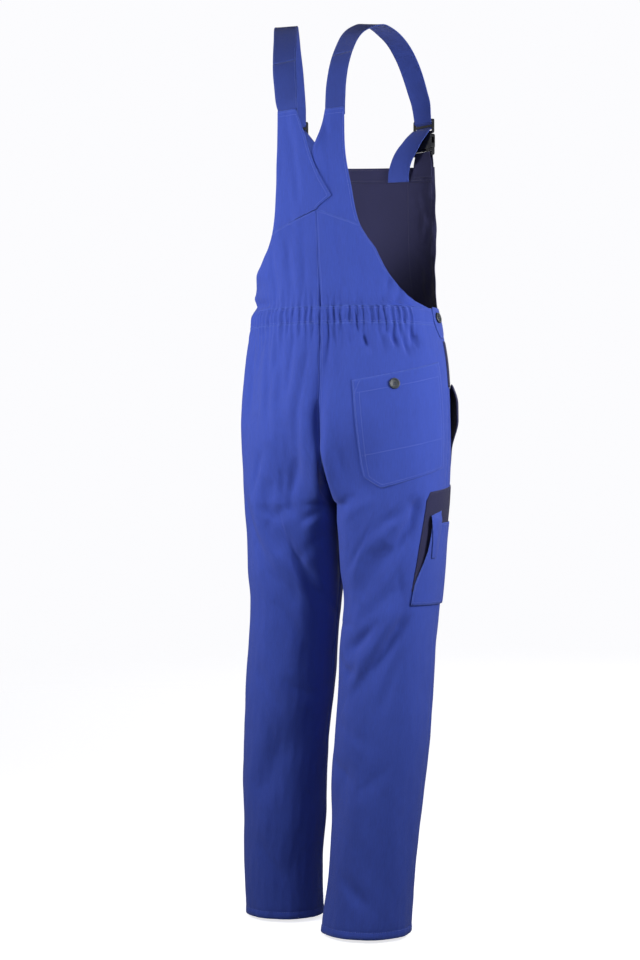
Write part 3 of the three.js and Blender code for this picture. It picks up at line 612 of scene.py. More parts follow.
def cloth_material(name, colour, worn, sheen, pitch=0.0009):
    """Woven twill: diagonal ribs and cross threads at their real pitch, uneven dye, wear along edges."""
    material, shader = new_material(name, colour, 0.85)
    shader.inputs["Sheen Weight"].default_value = sheen
    shader.inputs["Sheen Roughness"].default_value = 0.45
    shader.inputs["Specular IOR Level"].default_value = 0.25
    place = add_node(material, "ShaderNodeTexCoord").outputs["Object"]
    threads = add_node(material, "ShaderNodeUVMap", uv_map="cloth").outputs["UV"]
    parts = add_node(material, "ShaderNodeSeparateXYZ")
    link(material, threads, parts.inputs["Vector"])
    diagonal = math_node(material, "ADD", parts.outputs["X"], parts.outputs["Y"])
    rib = math_node(material, "SINE", math_node(material, "MULTIPLY", diagonal, 2 * math.pi / pitch))
    warp = math_node(material, "SINE", math_node(material, "MULTIPLY", parts.outputs["X"], 4 * math.pi / pitch))
    weft = math_node(material, "SINE", math_node(material, "MULTIPLY", parts.outputs["Y"], 4 * math.pi / pitch))
    weave = math_node(material, "ADD", rib, math_node(material, "MULTIPLY", math_node(material, "MULTIPLY", warp, weft), 0.5))
    streaks = add_node(material, "ShaderNodeMapping")
    streaks.inputs["Scale"].default_value = (1, 0.12, 1)
    link(material, threads, streaks.inputs["Vector"])
    slub = noise_node(material, streaks.outputs["Vector"], 520, 3, 0.65)
    cloud = noise_node(material, place, 14, 3)
    mottled = mixed_colour(material, mapped(material, cloud, 0.3, 0.7, 0, 1),
                           tuple(c * 0.93 for c in colour), tuple(min(1, c * 1.07) for c in colour))
    shade = math_node(material, "MULTIPLY_ADD", weave, 0.045)
    shade.node.inputs[2].default_value = 0.5
    threads_lit = mixed_colour(material, mapped(material, math_node(material, "ADD", shade, slub), 0.7, 1.3, 0, 1),
                               tuple(c * 0.72 for c in colour), tuple(min(1, c * 1.28) for c in colour))
    both = mixed_colour(material, 0.5, mottled, threads_lit)
    wear = add_node(material, "ShaderNodeAttribute", attribute_name="wear").outputs["Fac"]
    scuffed = math_node(material, "MULTIPLY", wear, mapped(material, noise_node(material, place, 260, 2), 0.35, 0.65, 0.2, 1))
    link(material, mixed_colour(material, scuffed, both, worn), shader.inputs["Base Color"])
    link(material, mapped(material, slub, 0.3, 0.7, 0.8, 0.92), shader.inputs["Roughness"])
    crumple = bump_node(material, noise_node(material, place, 55, 4, 0.55), 0.0009, 0.35)
    link(material, bump_node(material, weave, 0.00012, 0.5, crumple), shader.inputs["Normal"])
    return material


def thread_material(name, colour):
    material, shader = new_material(name, colour, 0.6)
    shader.inputs["Sheen Weight"].default_value = 0.3
    place = add_node(material, "ShaderNodeTexCoord").outputs["Object"]
    twist = noise_node(material, place, 2200, 2)
    link(material, mixed_colour(material, twist, tuple(c * 0.8 for c in colour), tuple(c * 1.2 for c in colour)),
         shader.inputs["Base Color"])
    link(material, bump_node(material, twist, 0.0001, 0.6), shader.inputs["Normal"])
    return material


def plastic_material(name, colour, roughness, coat):
    material, shader = new_material(name, colour, roughness)
    shader.inputs["Coat Weight"].default_value = coat
    shader.inputs["Coat Roughness"].default_value = 0.25
    place = add_node(material, "ShaderNodeTexCoord").outputs["Object"]
    grain = noise_node(material, place, 1500, 3)
    link(material, mapped(material, noise_node(material, place, 120, 3), 0.3, 0.7, roughness - 0.06, roughness + 0.1),
         shader.inputs["Roughness"])
    link(material, mixed_colour(material, grain, tuple(c * 0.85 for c in colour), tuple(c * 1.2 for c in colour)),
         shader.inputs["Base Color"])
    link(material, bump_node(material, grain, 0.00006, 0.5), shader.inputs["Normal"])
    return material


ROYAL = cloth_material("royal_cloth", (0.036, 0.068, 0.375), (0.075, 0.13, 0.5), 0.12)
NAVY = cloth_material("navy_cloth", (0.02, 0.02, 0.064), (0.045, 0.045, 0.11), 0.1)
STRAP = cloth_material("strap_webbing", (0.028, 0.052, 0.27), (0.06, 0.1, 0.38), 0.12, 0.0008)
THREAD_ROYAL = thread_material("royal_thread", (0.11, 0.17, 0.6))
THREAD_NAVY = thread_material("navy_thread", (0.04, 0.04, 0.1))
BUCKLE = plastic_material("buckle_plastic", (0.008, 0.009, 0.012), 0.38, 0.3)
BUTTON = plastic_material("button_plastic", (0.03, 0.036, 0.045), 0.42, 0.15)


def finish_piece(piece, material):
    piece.data.materials.append(material)
    for polygon in piece.data.polygons:
        polygon.use_smooth = True
    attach(piece, "root")
    return piece


def mesh_piece(name, points, faces, material, cloth_uv=None, wear=None):
    mesh = bpy.data.meshes.new(name)
    mesh.from_pydata((np.asarray(points) * MM).tolist(), [], faces)
    mesh.update()
    if cloth_uv is not None:
        layer = mesh.uv_layers.new(name="cloth")
        corner = np.empty(len(mesh.loops), int)
        mesh.loops.foreach_get("vertex_index", corner)
        layer.uv.foreach_set("vector", (np.asarray(cloth_uv)[corner] * MM).astype(np.float32).ravel())
    if wear is not None:
        mesh.attributes.new("wear", "FLOAT", "POINT").data.foreach_set("value", np.asarray(wear, np.float32))
    build = bmesh.new()
    build.from_mesh(mesh)
    bmesh.ops.recalc_face_normals(build, faces=build.faces)
    build.to_mesh(mesh)
    build.free()
    piece = bpy.data.objects.new(name, mesh)
    bpy.context.collection.objects.link(piece)
    return finish_piece(piece, material)


def rim_of(rows, columns):
    """Index pairs of a grid's boundary in order, each with the index pair next to it inside."""
    rim = [((0, c), (1, c)) for c in range(columns)]
    rim += [((r, columns - 1), (r, columns - 2)) for r in range(1, rows)]
    rim += [((rows - 1, c), (rows - 2, c)) for c in range(columns - 2, -1, -1)]
    rim += [((r, 0), (r, 1)) for r in range(rows - 2, 0, -1)]
    return rim


def cloth_piece(name, sheet, thickness, material):
    """A closed thin wall with rounded edges under a grid of outer points."""
    outer, normal = sheet["outer"], sheet["normal"]
    rows, columns = outer.shape[:2]
    inner = outer - normal * thickness
    count = rows * columns
    number = np.arange(count).reshape(rows, columns)
    quads = np.stack([number[:-1, :-1], number[1:, :-1], number[1:, 1:], number[:-1, 1:]], -1).reshape(-1, 4)
    rim = rim_of(rows, columns)
    edge = np.array([number[at] for at, _ in rim])
    inside = np.array([number[at] for _, at in rim])
    flat_outer, flat_inner = outer.reshape(-1, 3), inner.reshape(-1, 3)
    outward = unit(flat_outer[edge] - flat_outer[inside])
    middle = (flat_outer[edge] + flat_inner[edge]) / 2 + outward * thickness * 0.3
    points = np.concatenate([flat_outer, flat_inner, middle])
    ring = np.arange(len(rim)) + 2 * count
    after = np.roll(ring, -1)
    edge_after = np.roll(edge, -1)
    band = np.concatenate([
        np.stack([edge, edge_after, after, ring], -1),
        np.stack([ring, after, edge_after + count, edge + count], -1),
    ])
    faces = np.concatenate([quads, quads[:, ::-1] + count, band]).tolist()
    grid_uv = sheet["uv"].reshape(-1, 2)
    wear = np.zeros(len(points))
    wear[edge] = 0.5
    wear[2 * count:] = 0.8
    return mesh_piece(name, points, faces, material,
                      np.concatenate([grid_uv, grid_uv, grid_uv[edge]]), wear)


def make_sheet(outer, normal, along, down, uv=None):
    """A grid of cloth; along and down are the coordinates of its columns and rows."""
    if uv is None:
        uv = np.stack(np.broadcast_arrays(along[None, :] * ROUND_LENGTH, down[:, None]), -1)
    return {"outer": outer, "normal": normal, "along": along, "down": down, "uv": uv}


def sample(sheet, along, down, lift):
    """Points and normals on a sheet at places given in its own coordinates."""
    def position(keys, value):
        order = np.argsort(keys)
        return np.interp(value, keys[order], order.astype(float))
    column = position(sheet["along"], np.asarray(along, float))
    row = position(sheet["down"], np.asarray(down, float))
    c = np.minimum(column.astype(int), len(sheet["along"]) - 2)
    r = np.minimum(row.astype(int), len(sheet["down"]) - 2)
    s, t = (column - c)[:, None], (row - r)[:, None]

    def read(grid):
        return mix(mix(grid[r, c], grid[r, c + 1], s), mix(grid[r + 1, c], grid[r + 1, c + 1], s), t)
    normal = unit(read(sheet["normal"]))
    return read(sheet["outer"]) + normal * lift, normal


# Stitching
STITCH_PITCH = 3.0
STITCH_LENGTH = 2.5
STITCH_WIDTH = 0.55


def stitch_line(points, normals):
    """Centre, direction and normal of each stitch along a line of points."""
    lengths = np.concatenate([[0], np.cumsum(np.linalg.norm(np.diff(points, axis=0), axis=1))])
    count = int(lengths[-1] / STITCH_PITCH)
    at = (np.arange(count) + 0.5) * lengths[-1] / max(count, 1)

    def read(values, where):
        return np.stack([np.interp(where, lengths, values[:, k]) for k in range(3)], -1)
    start, end = read(points, at - STITCH_LENGTH / 2), read(points, at + STITCH_LENGTH / 2)
    return start, end, unit(read(normals, at))


def add_stitching(name, lines, material):
    """Sewing thread: each stitch is a small spindle whose ends go into the cloth."""
    starts, ends, ups = (np.concatenate(values) for values in zip(*[stitch_line(*line) for line in lines]))
    middle = (starts + ends) / 2
    aside = unit(np.cross(ends - starts, ups)) * STITCH_WIDTH / 2
    rings = [
        starts - ups * 0.15,
        middle + aside,
        middle + ups * STITCH_WIDTH * 0.65,
        middle - aside,
        middle - ups * 0.2,
        ends - ups * 0.15,
    ]
    points = np.stack(rings, 1).reshape(-1, 3)
    pattern = [(0, 1, 2), (0, 2, 3), (0, 3, 4), (0, 4, 1), (5, 2, 1), (5, 3, 2), (5, 4, 3), (5, 1, 4)]
    first = np.arange(len(starts))[:, None, None] * 6
    faces = (np.array(pattern)[None] + first).reshape(-1, 3).tolist()
    return mesh_piece(name, points, faces, material)


def line_on(sheet, corners, lift=0.05, step=1.5):
    """A line over a sheet through corners given in its own coordinates."""
    along, down = [], []
    for (a0, d0), (a1, d1) in zip(corners, corners[1:]):
        length = math.hypot((a1 - a0) * ROUND_LENGTH, d1 - d0)
        t = np.linspace(0, 1, max(2, int(length / step)))
        along.append(mix(a0, a1, t))
        down.append(mix(d0, d1, t))
    return sample(sheet, np.concatenate(along), np.concatenate(down), lift)


# Trouser panels
def trouser_sheet(side, face):
    is_back = face > 0
    half = SEAM_GAP / 2
    if is_back:
        columns = spread_marks([0, 0.005, 0.015, 0.985, 0.995, 1], 1 / 100)
        rows = spread_marks([CASING_BOTTOM - SEAM_GAP, -560], 2.5)
    else:
        columns = spread_marks([1, 1.005, 1.015, 1.985, 1.995, 2], 1 / 56)
        rows = spread_marks([FRONT_WAIST, -560], 6)
    crotch = spread_marks([-560, -760, -790, -830], 4)
    leg = spread_marks([-830, HEM + HEM_TURN + 1.5, HEM + HEM_TURN, HEM + HEM_TURN - 1.5, HEM], 5.5)
    rows = np.concatenate([rows, crotch[1:], leg[1:]])
    around, height = np.meshgrid(columns, rows)
    hem = 0.5 * ease((HEM + HEM_TURN - height) / 2) - 0.45 * np.exp(-((height - HEM - HEM_TURN) / 1.6) ** 2)
    pucker = 0.22 * soft_waves(around * ROUND_LENGTH, 0, 11, side + 3.0) * ease((HEM + 30 - height) / 22)
    outer, normal = surface(side, around, height, hem + pucker, 1.0)
    outer = outer + np.array([side * half, face * half, 0])
    return make_sheet(outer, normal, columns, rows)


def hem_line(sheet, start, end):
    return line_on(sheet, [(start, HEM + HEM_TURN), (end, HEM + HEM_TURN)])


def add_trousers(side):
    name = SIDE_NAME[side]
    for face, word in ((1, "back"), (-1, "front")):
        sheet = trouser_sheet(side, face)
        start, end = (0.01, 0.99) if face > 0 else (1.01, 1.99)
        piece = cloth_piece(f"{word}_{name}_cloth", sheet, CLOTH, ROYAL)
        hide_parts(f"{word}_{name}")
        lines = [hem_line(sheet, start, end)]
        if face > 0:
            lines += [line_on(sheet, [(0.012, CASING_BOTTOM - 4), (0.012, -770)])]
        thread = add_stitching(f"{word}_{name}_stitching", lines, THREAD_ROYAL)


# Back waist and bodice
def casing_sheet():
    columns = spread_marks([-1, 0, 1], 1 / 126)
    rows = spread_marks([CASING_TOP, CASING_TOP - 2, CASING_TOP - 4, -477, CASING_BOTTOM + 4, CASING_BOTTOM + 2,
                         CASING_BOTTOM], 2.2)
    around, height = np.meshgrid(columns, rows)
    rows_pull = np.exp(-((height - CASING_TOP + 3) / 1.6) ** 2) + np.exp(-((height - CASING_BOTTOM - 3) / 1.6) ** 2)
    crown = 0.8 * ease(1 - np.abs(height + 477) / 13)
    outer, normal = back_surface(around, height, crown - 0.5 * rows_pull)
    outer = outer + np.array([0, SEAM_GAP / 2, 0])
    return make_sheet(outer, normal, columns, rows)


def add_casing():
    sheet = casing_sheet()
    piece = cloth_piece("back_waist_casing_cloth", sheet, CLOTH, ROYAL)
    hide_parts("back_waist_casing")
    lines = [line_on(sheet, [(-0.99, level), (0.99, level)]) for level in (CASING_TOP - 3, CASING_BOTTOM + 3)]
    thread = add_stitching("casing_stitching", lines, THREAD_ROYAL)


def armhole_edge(side, level, slant):
    """Place of the armhole round from the centre back, on a row that slants down with the yoke."""
    column = {1: 0, -1: 1}[side]
    straight = read_table(ARMHOLE_EDGE, level)[column]
    return read_table(ARMHOLE_EDGE, level - YOKE_SLOPE * straight * slant)[column]


def bodice_sheet(side):
    bottom = CASING_TOP + SEAM_GAP
    rows = spread_marks([YOKE_HEIGHT, YOKE_HEIGHT - 2, YOKE_HEIGHT - 5, -430, bottom], 3.2)
    pace = spread_marks([0, 0.01, 0.03, 0.94, 0.985, 1], 1 / 70)
    slant = 1 - ease((YOKE_HEIGHT - rows) / 80)
    edge = armhole_edge(side, rows, slant)
    slant = slant[:, None]
    around = edge[:, None] * pace[None, :]
    height = rows[:, None] - (YOKE_SLOPE * around + SEAM_GAP) * slant
    hem = -0.35 * np.exp(-(((1 - pace[None, :]) * edge[:, None] * ROUND_LENGTH - 6) / 1.6) ** 2)
    outer, normal = surface(side, around, height, hem, 1.0)
    outer = outer + np.array([side * SEAM_GAP / 2, 0, 0])
    uv = np.stack([around * ROUND_LENGTH, height], -1)
    return make_sheet(outer, normal, pace, rows, uv)


def add_bodice(side):
    name = SIDE_NAME[side]
    sheet = bodice_sheet(side)
    piece = cloth_piece(f"back_bodice_{name}_cloth", sheet, CLOTH, ROYAL)
    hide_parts(f"back_bodice_{name}")
    bottom = CASING_TOP + SEAM_GAP + 2
    lines = [
        line_on(sheet, [(0.02, YOKE_HEIGHT - 3), (0.02, bottom)]),
        line_on(sheet, [(0.03, YOKE_HEIGHT - 2.5), (0.97, YOKE_HEIGHT - 2.5)]),
        line_on(sheet, [(0.955, YOKE_HEIGHT - 4), (0.965, -400), (0.975, bottom)]),
    ]
    thread = add_stitching(f"bodice_{name}_stitching", lines, THREAD_ROYAL)


def crossed_sheet(side):
    rows = spread_marks([PIECE_TOP, -286, -290, -294, -307, YOKE_HEIGHT], 2.6)
    pace = spread_marks([0, 0.015, 0.05, 0.95, 0.985, 1], 1 / 40)
    slant = ease((-240 - rows) / 60)
    outer_edge = -side * armhole_edge(side, rows, slant)
    inner_edge = read_table(CROSS_EDGE, rows)[{1: 0, -1: 1}[side]]
    slant = slant[:, None]
    around = inner_edge[:, None] + (outer_edge - inner_edge)[:, None] * pace
    drop = np.maximum(0, -around) if side > 0 else around
    height = rows[:, None] - YOKE_SLOPE * drop * slant
    if side > 0:
        lift = (1 - ease((-around - 0.12) / 0.1)) * (CLOTH + LAY_GAP)
    else:
        lift = np.zeros_like(around)
    outer, normal = back_surface(around, height, lift)
    if side < 0:
        turned = TURN_IN * ease((rows - TURN_IN_FROM) / (PIECE_TOP - TURN_IN_FROM))[:, None] * (1 - pace)
        outer[..., 1] -= turned
    uv = np.stack([around * ROUND_LENGTH, height], -1)
    return make_sheet(outer, normal, pace, rows, uv)


def add_crossed(side):
    name = SIDE_NAME[side]
    sheet = crossed_sheet(side)
    piece = cloth_piece(f"back_strap_piece_{name}_cloth", sheet, CLOTH, ROYAL)
    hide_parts(f"back_strap_piece_{name}")
    top = PIECE_TOP
    low = YOKE_HEIGHT + 3
    lines = [
        line_on(sheet, [(0.06, top - 8), (0.05, low)]),
        line_on(sheet, [(0.94, top - 8), (0.95, low)]),
        line_on(sheet, [(0.05, top - 3), (0.95, top - 3)]),
        line_on(sheet, [(0.05, top - 9), (0.95, top - 9)]),
    ]
    thread = add_stitching(f"strap_piece_{name}_stitching", lines, THREAD_ROYAL)


# Straps
def smooth_path(points, per_step):
    """Points on a smooth curve through the given ones, per_step to each step."""
    points = np.asarray(points, float)
    places = []
    last = len(points) - 1
    for i in range(last):
        p1, p2 = points[i], points[i + 1]
        p0 = points[i - 1] if i > 0 else 2 * p1 - p2
        p3 = points[i + 2] if i < last - 1 else 2 * p2 - p1
        d0, d1, d2 = (max(np.linalg.norm(b - a) ** 0.5, 1e-3) for a, b in ((p0, p1), (p1, p2), (p2, p3)))
        t1 = ((p1 - p0) / d0 - (p2 - p0) / (d0 + d1) + (p2 - p1) / d1) * d1
        t2 = ((p2 - p1) / d1 - (p3 - p1) / (d1 + d2) + (p3 - p2) / d2) * d1
        steps = np.linspace(0, 1, per_step + 1)[: None if i == last - 1 else -1, None]
        places.append(p1 + t1 * steps + (3 * (p2 - p1) - 2 * t1 - t2) * steps**2
                      + (2 * (p1 - p2) + t1 + t2) * steps**3)
    return np.concatenate(places)


def strap_stations(side, per_step=24):
    table = np.array(STRAP_PATH[side], float)
    turn, dip = np.radians(table[:, 3]), np.radians(table[:, 4])
    across = np.stack([np.cos(turn) * np.cos(dip), np.sin(turn) * np.cos(dip), np.sin(dip)], -1)
    return smooth_path(table[:, :3], per_step), unit(smooth_path(across, per_step))


def near_buckle(side, shift, inward, height, twist):
    """Places beside a buckle's middle, and the way across the strap there."""
    shift, inward, height, twist = np.broadcast_arrays(*(np.asarray(v, float) for v in (shift, inward, height, twist)))
    x = BUCKLE_X[side] - side * shift
    reach = x - BIB_SHIFT
    turn = np.arctan(2 * BIB_CURVE * reach) + np.radians(BUCKLE_TWIST[side] * twist)
    y = -BIB_SECTIONS[0][2] + BIB_CURVE * reach * reach + CLOTH / 2
    place = np.stack([x - inward * np.sin(turn), y + inward * np.cos(turn), BUCKLE_HEIGHT[side] + height], -1)
    return place, np.stack([np.cos(turn), np.sin(turn), np.zeros_like(turn)], -1)


def ribbon_sheet(places, across, width, thickness, seed):
    """A flat strap whose middle follows the places."""
    tangent = unit(np.gradient(places, axis=0))
    across = unit(across - tangent * (across * tangent).sum(-1, keepdims=True))
    normal = unit(np.cross(tangent, across))
    pace = spread_marks([-1, -0.94, -0.86, 0.86, 0.94, 1], 0.22)
    length = np.concatenate([[0], np.cumsum(np.linalg.norm(np.diff(places, axis=0), axis=1))])
    seam = np.exp(-((np.abs(pace) - 0.9) / 0.035) ** 2)
    wave = 0.22 * soft_waves(pace[None, :] * width / 2, length[:, None], 46, seed)
    rise = thickness / 2 - 0.18 * seam[None, :] + wave * ease(np.minimum(length, length[-1] - length) / 40)[:, None]
    outer = places[:, None] + across[:, None] * (pace * width / 2)[None, :, None] + normal[:, None] * rise[..., None]
    normals = np.repeat(normal[:, None], len(pace), 1)
    uv = np.stack(np.broadcast_arrays(pace[None, :] * width / 2, -length[:, None]), -1)
    return make_sheet(outer, normals, pace, -length, uv)


def strap_lines(sheet, start, end):
    low, high = -abs(start), sheet["down"][-1] + end
    return [sample(sheet, np.full(400, pace), np.linspace(low, high, 400), 0.05) for pace in (-0.9, 0.9)]


def add_straps(side):
    name = SIDE_NAME[side]
    places, across = strap_stations(side)
    last = len(places) - 1
    joint = round(STRAP_JOINT[side] * last)
    below = np.linspace(0, joint, 41).round().astype(int)
    above = np.linspace(joint, last, 18).round().astype(int)
    lower = ribbon_sheet(places[below], across[below], STRAP_WIDTH, STRAP_CLOTH, side + 7.0)
    piece = cloth_piece(f"strap_back_{name}_cloth", lower, STRAP_CLOTH, STRAP)
    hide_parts(f"strap_back_{name}")
    lines = strap_lines(lower, 14, 1)
    thread = add_stitching(f"strap_back_{name}_stitching", lines, THREAD_ROYAL)

    threaded, sideways = near_buckle(side, *np.array(WEAVE, float).T)
    stations = np.concatenate([places[above], threaded])
    sideways = np.concatenate([across[above], sideways])
    upper = ribbon_sheet(smooth_path(stations, 5), unit(smooth_path(sideways, 5)), STRAP_WIDTH, STRAP_CLOTH, side + 9.0)
    piece = cloth_piece(f"strap_{name}_cloth", upper, STRAP_CLOTH, STRAP)
    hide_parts(f"strap_{name}")
    lines = strap_lines(upper, 1, 3)
    thread = add_stitching(f"strap_{name}_stitching", lines, THREAD_ROYAL)


# Bib
def bib_surface(across, height, lift):
    """Outer points of the bib, across -1 at the wearer's right edge and 1 at the left."""
    half, front = read_table(BIB_SECTIONS, height)
    centre, body_half, body_front, _ = read_table(BODY_SECTIONS, height)
    x = across * half
    free = ease((height - FRONT_WAIST) / 150)
    on_body = -body_front * np.sqrt(np.maximum(0, 1 - (x / body_half) ** 2))
    flat = -front + BIB_CURVE * x * x
    body_slope = x * body_front**2 / (body_half**2 * np.maximum(30, -on_body))
    slope = mix(body_slope, 2 * BIB_CURVE * x, free)
    normal = unit(np.stack([slope, -np.ones_like(slope), np.zeros_like(slope)], -1))
    outer = np.stack([mix(centre, BIB_SHIFT, free) + x, mix(on_body, flat, free), height + BIB_TILT * x * free], -1)
    outer[..., 1] -= lift
    return outer, normal


def bib_rise(across, height):
    x = across * 135
    edge = np.abs(x) / 135
    crumple = 2.6 * soft_waves(x * 2.2, height * 0.6, 34, 4.0) * ease((edge - 0.7) / 0.16)
    folds = crumple + 1.1 * soft_waves(x, height * 0.5, 66, 6.0)
    return folds * ease((-214 - height) / 40) * ease((height + 460) / 30)


def add_bib():
    rows = spread_marks([BIB_TOP, BIB_TOP - 3, BIB_TOP - FACING_HEIGHT - 4, FRONT_WAIST + SEAM_GAP], 4)
    pace = spread_marks([-1, -0.985, -0.95, 0.95, 0.985, 1], 1 / 34)
    across, height = np.meshgrid(pace, rows)
    outer, normal = bib_surface(across, height, bib_rise(across, height))
    uv = np.stack([across * 135, height], -1)
    sheet = make_sheet(outer, normal, pace, rows, uv)
    piece = cloth_piece("bib_cloth", sheet, CLOTH, NAVY)
    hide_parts("bib")
    inside = CLOTH + 0.05
    lines = []
    for lift in (0.05, -inside):
        lines += [line_on(sheet, [(0.95 * s, BIB_TOP - 8), (0.95 * s, -455)], lift) for s in (-1, 1)]
    lines += [line_on(sheet, [(0.62 * s, -240), (0.62 * s, -455)], -inside) for s in (-1, 1)]
    lines = [(points, normals if k < 2 else -normals) for k, (points, normals) in enumerate(lines)]
    thread = add_stitching("bib_stitching", lines, THREAD_NAVY)

    rows = spread_marks([BIB_TOP, BIB_TOP - 2, BIB_TOP - FACING_HEIGHT + 2, BIB_TOP - FACING_HEIGHT], 3)
    pace = spread_marks([-0.99, 0.99], 1 / 30)
    across, height = np.meshgrid(pace, rows)
    outer, normal = bib_surface(across, height, -CLOTH - LAY_GAP + bib_rise(across, height))
    sheet = make_sheet(outer, normal, pace, rows, np.stack([across * 135, height], -1))
    piece = cloth_piece("bib_top_facing_cloth", sheet, POCKET_CLOTH, NAVY)
    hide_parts("bib_top_facing")
    levels = (BIB_TOP - 3, BIB_TOP - FACING_HEIGHT + 3)
    lines = [line_on(sheet, [(-0.97, level), (0.97, level)], -POCKET_CLOTH - 0.05) for level in levels]
    lines = [(points, -normals) for points, normals in lines]
    thread = add_stitching("bib_facing_stitching", lines, THREAD_NAVY)


# Buckles
def add_buckle(side):
    name = SIDE_NAME[side]
    height, inward, twist = np.array(EAR, float).T
    path, across = near_buckle(side, 0, inward, height, twist)
    path, across = smooth_path(path, 5), unit(smooth_path(across, 5))
    sheet = ribbon_sheet(path, across, STRAP_WIDTH - 4, POCKET_CLOTH, side + 11.0)
    piece = cloth_piece(f"buckle_loop_{name}_cloth", sheet, POCKET_CLOTH, NAVY)
    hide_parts(f"buckle_loop_{name}")
    end = sheet["down"][-1]
    box = [(-0.85, end + 3), (0.85, end + 3), (0.85, end + 18), (-0.85, end + 18), (-0.85, end + 3), (0.85, end + 18)]
    corners = [sample(sheet, np.linspace(a[0], b[0], 30), np.linspace(a[1], b[1], 30), 0.05)
               for a, b in zip(box, box[1:])]
    thread = add_stitching(f"buckle_loop_{name}_stitching", corners, THREAD_NAVY)
    for part in ("clip", "socket"):
        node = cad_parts[f"buckle_{part}_{name}"]
        bevel = node.modifiers.new("soft_edges", "BEVEL")
        bevel.width = 0.0005
        bevel.segments = 2
        bevel.limit_method = "ANGLE"
        bevel.angle_limit = math.radians(40)
        for held_slot in node.material_slots:
            held_slot.material = BUCKLE


# Laid pieces
def laid_sheet(side, outline, rows, columns, thickness, base=LAY_GAP, stand=None, tuck=0.55):
    table = np.array([row if len(row) == 4 else [*row, row[0]] for row in outline], float)
    down = np.linspace(0, 1, rows)
    knots = np.linspace(0, 1, len(table))
    pace = np.linspace(0, 1, columns)
    height0, start, end, height1 = (np.interp(down, knots, table[:, k])[:, None] for k in range(4))
    around = mix(start, end, pace[None, :])
    height = mix(height0, height1, pace[None, :])
    width = np.abs(end - start) * ROUND_LENGTH
    length = abs(table[-1, 0] - table[0, 0])
    from_edge = np.minimum(np.minimum(pace, 1 - pace)[None, :] * width, np.minimum(down, 1 - down)[:, None] * length)
    lift = base + thickness - tuck * np.exp(-(from_edge / 1.6) ** 2) - 0.2 * np.exp(-((from_edge - 4) / 1.3) ** 2)
    if stand is not None:
        lift = lift + stand(around, height)
    outer, normal = surface(side, around, height, lift)
    return make_sheet(outer, normal, pace, down, np.stack([around * ROUND_LENGTH, height], -1))


def inset_line(sheet, corners, lift=0.05):
    along, down = [], []
    for (a0, d0), (a1, d1) in zip(corners, corners[1:]):
        along.append(np.linspace(a0, a1, 120))
        down.append(np.linspace(d0, d1, 120))
    return sample(sheet, np.concatenate(along), np.concatenate(down), lift)


def button_mesh(name):
    """A sewn button with a raised rim and a dished middle; its four holes are cut afterwards."""
    radius = BUTTON_DIAMETER / 2
    profile = [(0, 0), (radius - 2, 0), (radius - 0.6, 0.4), (radius, 1.4), (radius - 0.3, 2.4), (radius - 1, 3),
               (radius - 1.9, 2.9), (radius - 2.7, 2.2), (radius - 4, 1.9), (0, 1.8)]
    build = bmesh.new()
    ring = [build.verts.new((r * MM, 0, h * MM)) for r, h in profile]
    edges = [build.edges.new(pair) for pair in zip(ring, ring[1:])]
    bmesh.ops.spin(build, geom=ring + edges, cent=(0, 0, 0), axis=(0, 0, 1), angle=2 * math.pi, steps=48)
    bmesh.ops.remove_doubles(build, verts=build.verts, dist=1e-6)
    bmesh.ops.recalc_face_normals(build, faces=build.faces)
    mesh = bpy.data.meshes.new(name)
    build.to_mesh(mesh)
    build.free()
    return mesh


def hole_cutter():
    build = bmesh.new()
    for x, y in ((1, 1), (-1, 1), (-1, -1), (1, -1)):
        made = bmesh.ops.create_cone(build, cap_ends=True, segments=16, radius1=0.9 * MM, radius2=0.9 * MM,
                                     depth=12 * MM)
        bmesh.ops.translate(build, verts=made["verts"], vec=(x * 1.6 * MM, y * 1.6 * MM, 0))
    mesh = bpy.data.meshes.new("holes")
    build.to_mesh(mesh)
    build.free()
    return bpy.data.objects.new("holes", mesh)


def drilled_button():
    plain = bpy.data.objects.new("plain_button", button_mesh("plain_button"))
    cutter = hole_cutter()
    for thing in (plain, cutter):
        bpy.context.collection.objects.link(thing)
    cut = plain.modifiers.new("holes", "BOOLEAN")
    cut.operation = "DIFFERENCE"
    cut.object = cutter
    cut.solver = "EXACT"
    mesh = bpy.data.meshes.new_from_object(plain.evaluated_get(bpy.context.evaluated_depsgraph_get()))
    for thing in (plain, cutter):
        bpy.data.objects.remove(thing)
    return mesh


BUTTON_MESH = drilled_button()


def add_button(name, side, around, height, lift):
    spot, normal = surface(side, np.array([around]), np.array([height]), lift)
    up = np.array([0.0, 0, 1])
    across = unit(np.cross(up, normal[0]))
    turn = np.stack([across, np.cross(normal[0], across), normal[0]], -1)
    local = np.empty(len(BUTTON_MESH.vertices) * 3)
    BUTTON_MESH.vertices.foreach_get("co", local)
    points = (local.reshape(-1, 3) / MM) @ turn.T + spot[0]
    faces = [list(polygon.vertices) for polygon in BUTTON_MESH.polygons]
    piece = mesh_piece(f"{name}_button", points, faces, BUTTON)
    sharp = piece.modifiers.new("corners", "EDGE_SPLIT")
    sharp.split_angle = math.radians(50)
    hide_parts(name)
    bars = []
    for x0, y0, x1, y1 in ((-1.6, -1.6, 1.6, 1.6), (-1.6, 1.6, 1.6, -1.6)):
        t = np.linspace(0, 1, 12)
        flat = np.stack([mix(x0, x1, t), mix(y0, y1, t), 1.6 + 1.1 * np.sin(t * math.pi)], -1)
        bars.append((flat @ turn.T + spot[0], np.repeat(normal, len(t), 0)))
    add_stitching(f"{name}_thread", bars, THREAD_ROYAL)


